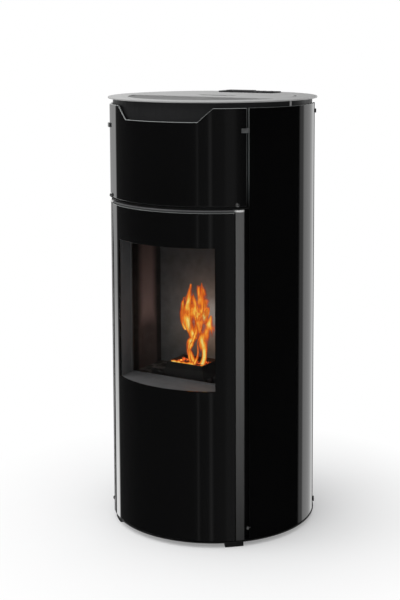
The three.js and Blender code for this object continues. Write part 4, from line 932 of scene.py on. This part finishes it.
class STOVE_OT_glass(bpy.types.Operator):
    """Makes the bent glass of the door, the front and the sides"""
    bl_idname = "stove.glass"
    bl_label = "Bent glass"

    def execute(self, context):
        sizes = context.scene.stove_sizes
        make_piece("door_glass_bent", [door_glass_shape(sizes)], "door", "black_glass",
                   ("door_glass",), edge=sizes.edge_round)
        make_piece("upper_glass_bent", [upper_glass_shape(sizes)], "casing", "black_glass",
                   ("upper_glass_panel",), edge=2.5 * sizes.edge_round)
        for side, sign in (("left", -1), ("right", 1)):
            low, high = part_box("side_panel_" + side)
            start, end = sorted((sign * SIDE_GLASS_START, sign * SIDE_GLASS_END))
            panel = curved_panel(sizes.side_radius, sizes.glass, start, end, low[2], high[2])
            make_piece("side_glass_" + side, [panel], "casing", "black_glass",
                       ("side_panel_" + side,), edge=sizes.edge_round)
        return {"FINISHED"}


class STOVE_OT_disc(bpy.types.Operator):
    """Makes the steel disc, its lid and the plate in front of the lid"""
    bl_idname = "stove.disc"
    bl_label = "Disc and lid"

    def execute(self, context):
        sizes = context.scene.stove_sizes
        under = sizes.disc_top - DISC_THICKNESS
        axis_z, lug_top = sizes.disc_top - LID_AXIS_DROP, sizes.disc_top - 0.002
        lug_radius, lug_back, lug_ends = 0.0034, 0.176, (0.084, 0.100)
        knuckle_radius, knuckle_front, knuckle_ends = 0.004, 0.158, (0.060, 0.080)
        pin_radius, pin_circle, pin_angle, pin_drop = 0.0025, 0.266, math.radians(77.6), 0.0127
        bar_half, bar_front, bar_back, sides = 0.2150, -0.062, -0.046, 24
        bar = block((-bar_half, bar_front, under - LEDGE_THICKNESS), (bar_half, bar_back, under))
        parts, knuckles = [disc_ring_shape(sizes), ledge_shape(sizes), bar], [lid_shape(sizes)]
        for sign in (-1, 1):
            x0, x1 = sorted(sign * end for end in lug_ends)
            parts.append(rod(lug_radius, (x0, LID_AXIS_Y, axis_z), (x1, LID_AXIS_Y, axis_z), sides))
            parts.append(block((x0, LID_AXIS_Y, axis_z), (x1, lug_back, lug_top)))
            x, y, _ = polar(pin_circle, sign * pin_angle, 0.0)
            parts.append(rod(pin_radius, (x, y, under - pin_drop), (x, y, under + 0.001), sides))
            x0, x1 = sorted(sign * end for end in knuckle_ends)
            knuckles.append(rod(knuckle_radius, (x0, LID_AXIS_Y, axis_z), (x1, LID_AXIS_Y, axis_z), sides))
            knuckles.append(block((x0, knuckle_front, axis_z - 0.0015), (x1, LID_AXIS_Y, lug_top)))
        make_piece("disc_ring", parts, "casing", "silver_paint", ("top_plate",))
        make_piece("lid_plate", knuckles, "lid", "silver_paint", ("hopper_lid",), edge=0.0005)
        make_piece("inset_segment", [inset_shape(sizes)], "casing", "inset_paint",
                   ("top_inset_plate",), edge=0.0003)
        return {"FINISHED"}


class STOVE_OT_columns(bpy.types.Operator):
    """Makes the two uprights at the edges of the door"""
    bl_idname = "stove.columns"
    bl_label = "Uprights"

    def execute(self, context):
        sizes = context.scene.stove_sizes
        for name, sign in (("grip_column", -1), ("hinge_column", 1)):
            low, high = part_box(name)
            top = high[2] - CAP_HEIGHT
            x, y, _ = polar(sizes.front_radius - CAP_INSET, sign * (COLUMN_START + COLUMN_END) / 2, 0.0)
            upright = column_shape(sizes, sign, low[2], top)
            make_piece(name + "_brushed", [upright], "door", "column_steel", (name,))
            cap = rod(CAP_RADIUS, (x, y, top), (x, y, high[2]), 48, CAP_BEAD)
            make_piece(name + "_cap", [cap], "door", "cap_steel")
        return {"FINISHED"}


class STOVE_OT_pipes(bpy.types.Operator):
    """Makes the flue and air connections at the back"""
    bl_idname = "stove.pipes"
    bl_label = "Flue and air pipe"

    def execute(self, context):
        for name, piece, kind, radius in (
                ("flue_spigot", "flue_pipe", "black_steel", 0.040),
                ("air_inlet_pipe", "air_pipe", "zinc", 0.025)):
            low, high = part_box(name)
            x, z = (low[0] + high[0]) / 2, (low[2] + high[2]) / 2
            shape = pipe_shape(x, z, radius, PIPE_WALL, low[1], high[1], PIPE_BEAD)
            make_piece(piece, [shape], "casing", kind, (name,), angle=50.0)
        return {"FINISHED"}


class STOVE_OT_seal(bpy.types.Operator):
    """Makes the braided seal behind the window"""
    bl_idname = "stove.seal"
    bl_label = "Door seal"

    def execute(self, context):
        shape = rope_shape(*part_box("door_seal"), SEAL_WIDTH)
        make_piece("braided_rope", [shape], "door", "seal_rope", ("door_seal",), angle=60.0)
        return {"FINISHED"}


class STOVE_OT_fire(bpy.types.Operator):
    """Makes the pellets in the burn pot and the flames over them"""
    bl_idname = "stove.fire"
    bl_label = "Fire"

    def execute(self, context):
        sizes = context.scene.stove_sizes
        pellets = pellets_shape(sizes.pellets, sizes.pellet_length)
        make_piece("pellet_bed", [pellets], "pot", "embers")
        for index, tongue in enumerate(TONGUES):
            points, uv = tongue_shape(*tongue)
            make_sheet("flame_%d" % (index + 1), points, uv, "pot", "flame")
        return {"FINISHED"}


class STOVE_OT_stage(bpy.types.Operator):
    """Sets up the floor, the lamps, the surroundings and the camera"""
    bl_idname = "stove.stage"
    bl_label = "Stage"

    def execute(self, context):
        scene = context.scene
        scene.view_settings.view_transform = "Standard"
        add_floor(scene)
        add_world(scene)
        add_lamp(scene, "top_softbox", (-0.6, -0.8, 3.4), (0.0, 0.0, 0.9), 3.2, 62.0)
        add_lamp(scene, "left_softbox", (-3.0, -2.2, 2.0), (0.0, 0.0, 0.6), 2.2, 26.0)
        add_firelight(scene)
        add_camera(scene)
        return {"FINISHED"}


def add_floor(scene):
    """A round pale floor that keeps the shadow near the stove and turns white further
    off. Shining surfaces look through it at the studio, which is dark in front."""
    reach, turn = 14.0, full_turn(64)
    mesh = bpy.data.meshes.new("floor")
    rim = points_of(reach * np.cos(turn), reach * np.sin(turn), 0.0)
    mesh.from_pydata(rim.tolist(), [], [list(range(turn.size))])
    floor = bpy.data.objects.new("floor", mesh)
    scene.collection.objects.link(floor)
    material = bpy.data.materials.new("pale_floor")
    material.use_nodes = True
    material.node_tree.nodes.clear()
    nodes = Nodes(material.node_tree)
    place = nodes.add("ShaderNodeTexCoord").outputs["Object"]
    tone = nodes.effect(
        "patchy_colour", Vector=place, Scale=1.5, Colour_A=(0.90, 0.90, 0.90), Colour_B=(0.93, 0.93, 0.93))
    matt = nodes.add("ShaderNodeBsdfDiffuse", {"Color": tone}).outputs[0]
    white = nodes.add("ShaderNodeEmission", {"Color": (1, 1, 1), "Strength": 1.0}).outputs[0]
    clear = nodes.add("ShaderNodeBsdfTransparent").outputs[0]
    path = nodes.add("ShaderNodeLightPath").outputs
    beyond = nodes.spread(nodes.vector("LENGTH", place, result="Value"), 0.25, 0.75, 0.25, 1.0)
    bleach = nodes.calc("MULTIPLY", beyond, path["Is Camera Ray"])
    ground = nodes.add("ShaderNodeMixShader", {0: bleach, 1: matt, 2: white}).outputs[0]
    seen = nodes.add("ShaderNodeMixShader", {0: path["Is Glossy Ray"], 1: ground, 2: clear}).outputs[0]
    nodes.add("ShaderNodeOutputMaterial", {"Surface": seen}).is_active_output = True
    mesh.materials.append(material)


def add_world(scene):
    """White where the camera looks past the stove, soft grey light on it, and the
    studio's brightness by direction in what shines."""
    world = bpy.data.worlds.new("studio")
    scene.world = world
    world.use_nodes = True
    world.node_tree.nodes.clear()
    nodes = Nodes(world.node_tree)

    def background(tint, strength):
        return nodes.add("ShaderNodeBackground", {"Color": tint, "Strength": strength}).outputs[0]

    around = nodes.effect("surroundings", Vector=nodes.add("ShaderNodeTexCoord").outputs["Generated"])
    path = nodes.add("ShaderNodeLightPath").outputs
    plain, mirrored = background((0.58, 0.585, 0.59), 1.0), background(around, STUDIO_LEVEL)
    shine = nodes.add("ShaderNodeMixShader", {0: path["Is Glossy Ray"], 1: plain, 2: mirrored})
    seen = nodes.add("ShaderNodeMixShader", {
        0: path["Is Camera Ray"], 1: shine.outputs[0], 2: background((1, 1, 1), 1.0)})
    nodes.add("ShaderNodeOutputWorld", {"Surface": seen.outputs[0]})


def add_lamp(scene, name, place, target, size, power):
    """A square soft lamp at a place, turned to its target and not mirrored."""
    lamp = bpy.data.lights.new(name, "AREA")
    lamp.shape = "SQUARE"
    lamp.size = size
    lamp.energy = power
    lamp_object = bpy.data.objects.new(name, lamp)
    away = np.array(place) - np.array(target)
    away /= np.linalg.norm(away)
    side = np.cross([0.0, 0.0, 1.0], away)
    side /= np.linalg.norm(side)
    up = np.cross(away, side)
    lamp_object.matrix_world = Matrix([*zip(side, up, away, place), (0, 0, 0, 1)])
    lamp_object.visible_glossy = False
    scene.collection.objects.link(lamp_object)


def add_firelight(scene):
    """The small warm light that the flames throw on the lining."""
    lamp = bpy.data.lights.new("firelight", "POINT")
    lamp.energy = 0.19
    lamp.color = (1.0, 0.94, 0.88)
    lamp.shadow_soft_size = 0.03
    lamp_object = bpy.data.objects.new("firelight", lamp)
    lamp_object.location = (0.0, -0.105, 0.540)
    lamp_object.visible_glossy = False
    lamp_object.visible_transmission = False
    scene.collection.objects.link(lamp_object)


def add_camera(scene):
    """The photograph's viewpoint: right of the front and a little above the disc."""
    place, azimuth, down, roll = (1.670, -2.802, 1.2929), math.radians(30.8), 6.30, -0.0032
    camera = bpy.data.cameras.new("view")
    camera.sensor_width = 36.0
    camera.lens = 74.26
    camera.shift_x = -0.02115
    camera.shift_y = -0.2198
    camera_object = bpy.data.objects.new("view", camera)
    turn = Matrix.Rotation(azimuth, 4, "Z") @ Matrix.Rotation(math.radians(90 - down), 4, "X")
    camera_object.matrix_world = Matrix.Translation(place) @ turn @ Matrix.Rotation(roll, 4, "Z")
    scene.collection.objects.link(camera_object)
    scene.camera = camera_object


OPERATORS = (
    STOVE_OT_finishes, STOVE_OT_glass, STOVE_OT_disc, STOVE_OT_columns, STOVE_OT_pipes, STOVE_OT_seal,
    STOVE_OT_fire, STOVE_OT_stage,
)


class STOVE_PT_pieces(bpy.types.Panel):
    """Lists the stove's pieces and their settings"""
    bl_label = "Pellet stove"
    bl_idname = "STOVE_PT_pieces"
    bl_space_type = "VIEW_3D"
    bl_region_type = "UI"
    bl_category = "Stove"

    def draw(self, context):
        layout = self.layout
        for operator in OPERATORS:
            layout.operator(operator.bl_idname, text=operator.bl_label)
        for group in (context.scene.stove_sizes, context.scene.stove_colours):
            box = layout.box()
            for key in group.__annotations__:
                box.prop(group, key)


CLASSES = (StoveSizes, StoveColours) + OPERATORS + (STOVE_PT_pieces,)


def register():
    for kind in CLASSES:
        bpy.utils.register_class(kind)
    bpy.types.Scene.stove_sizes = PointerProperty(type=StoveSizes)
    bpy.types.Scene.stove_colours = PointerProperty(type=StoveColours)


def unregister():
    del bpy.types.Scene.stove_colours
    del bpy.types.Scene.stove_sizes
    for kind in reversed(CLASSES):
        bpy.utils.unregister_class(kind)


def main():
    register()
    for operator in OPERATORS:
        group, name = operator.bl_idname.split(".")
        if getattr(getattr(bpy.ops, group), name)() != {"FINISHED"}:
            raise RuntimeError(operator.bl_label + " was not made")


if __name__ == "__main__":
    main()
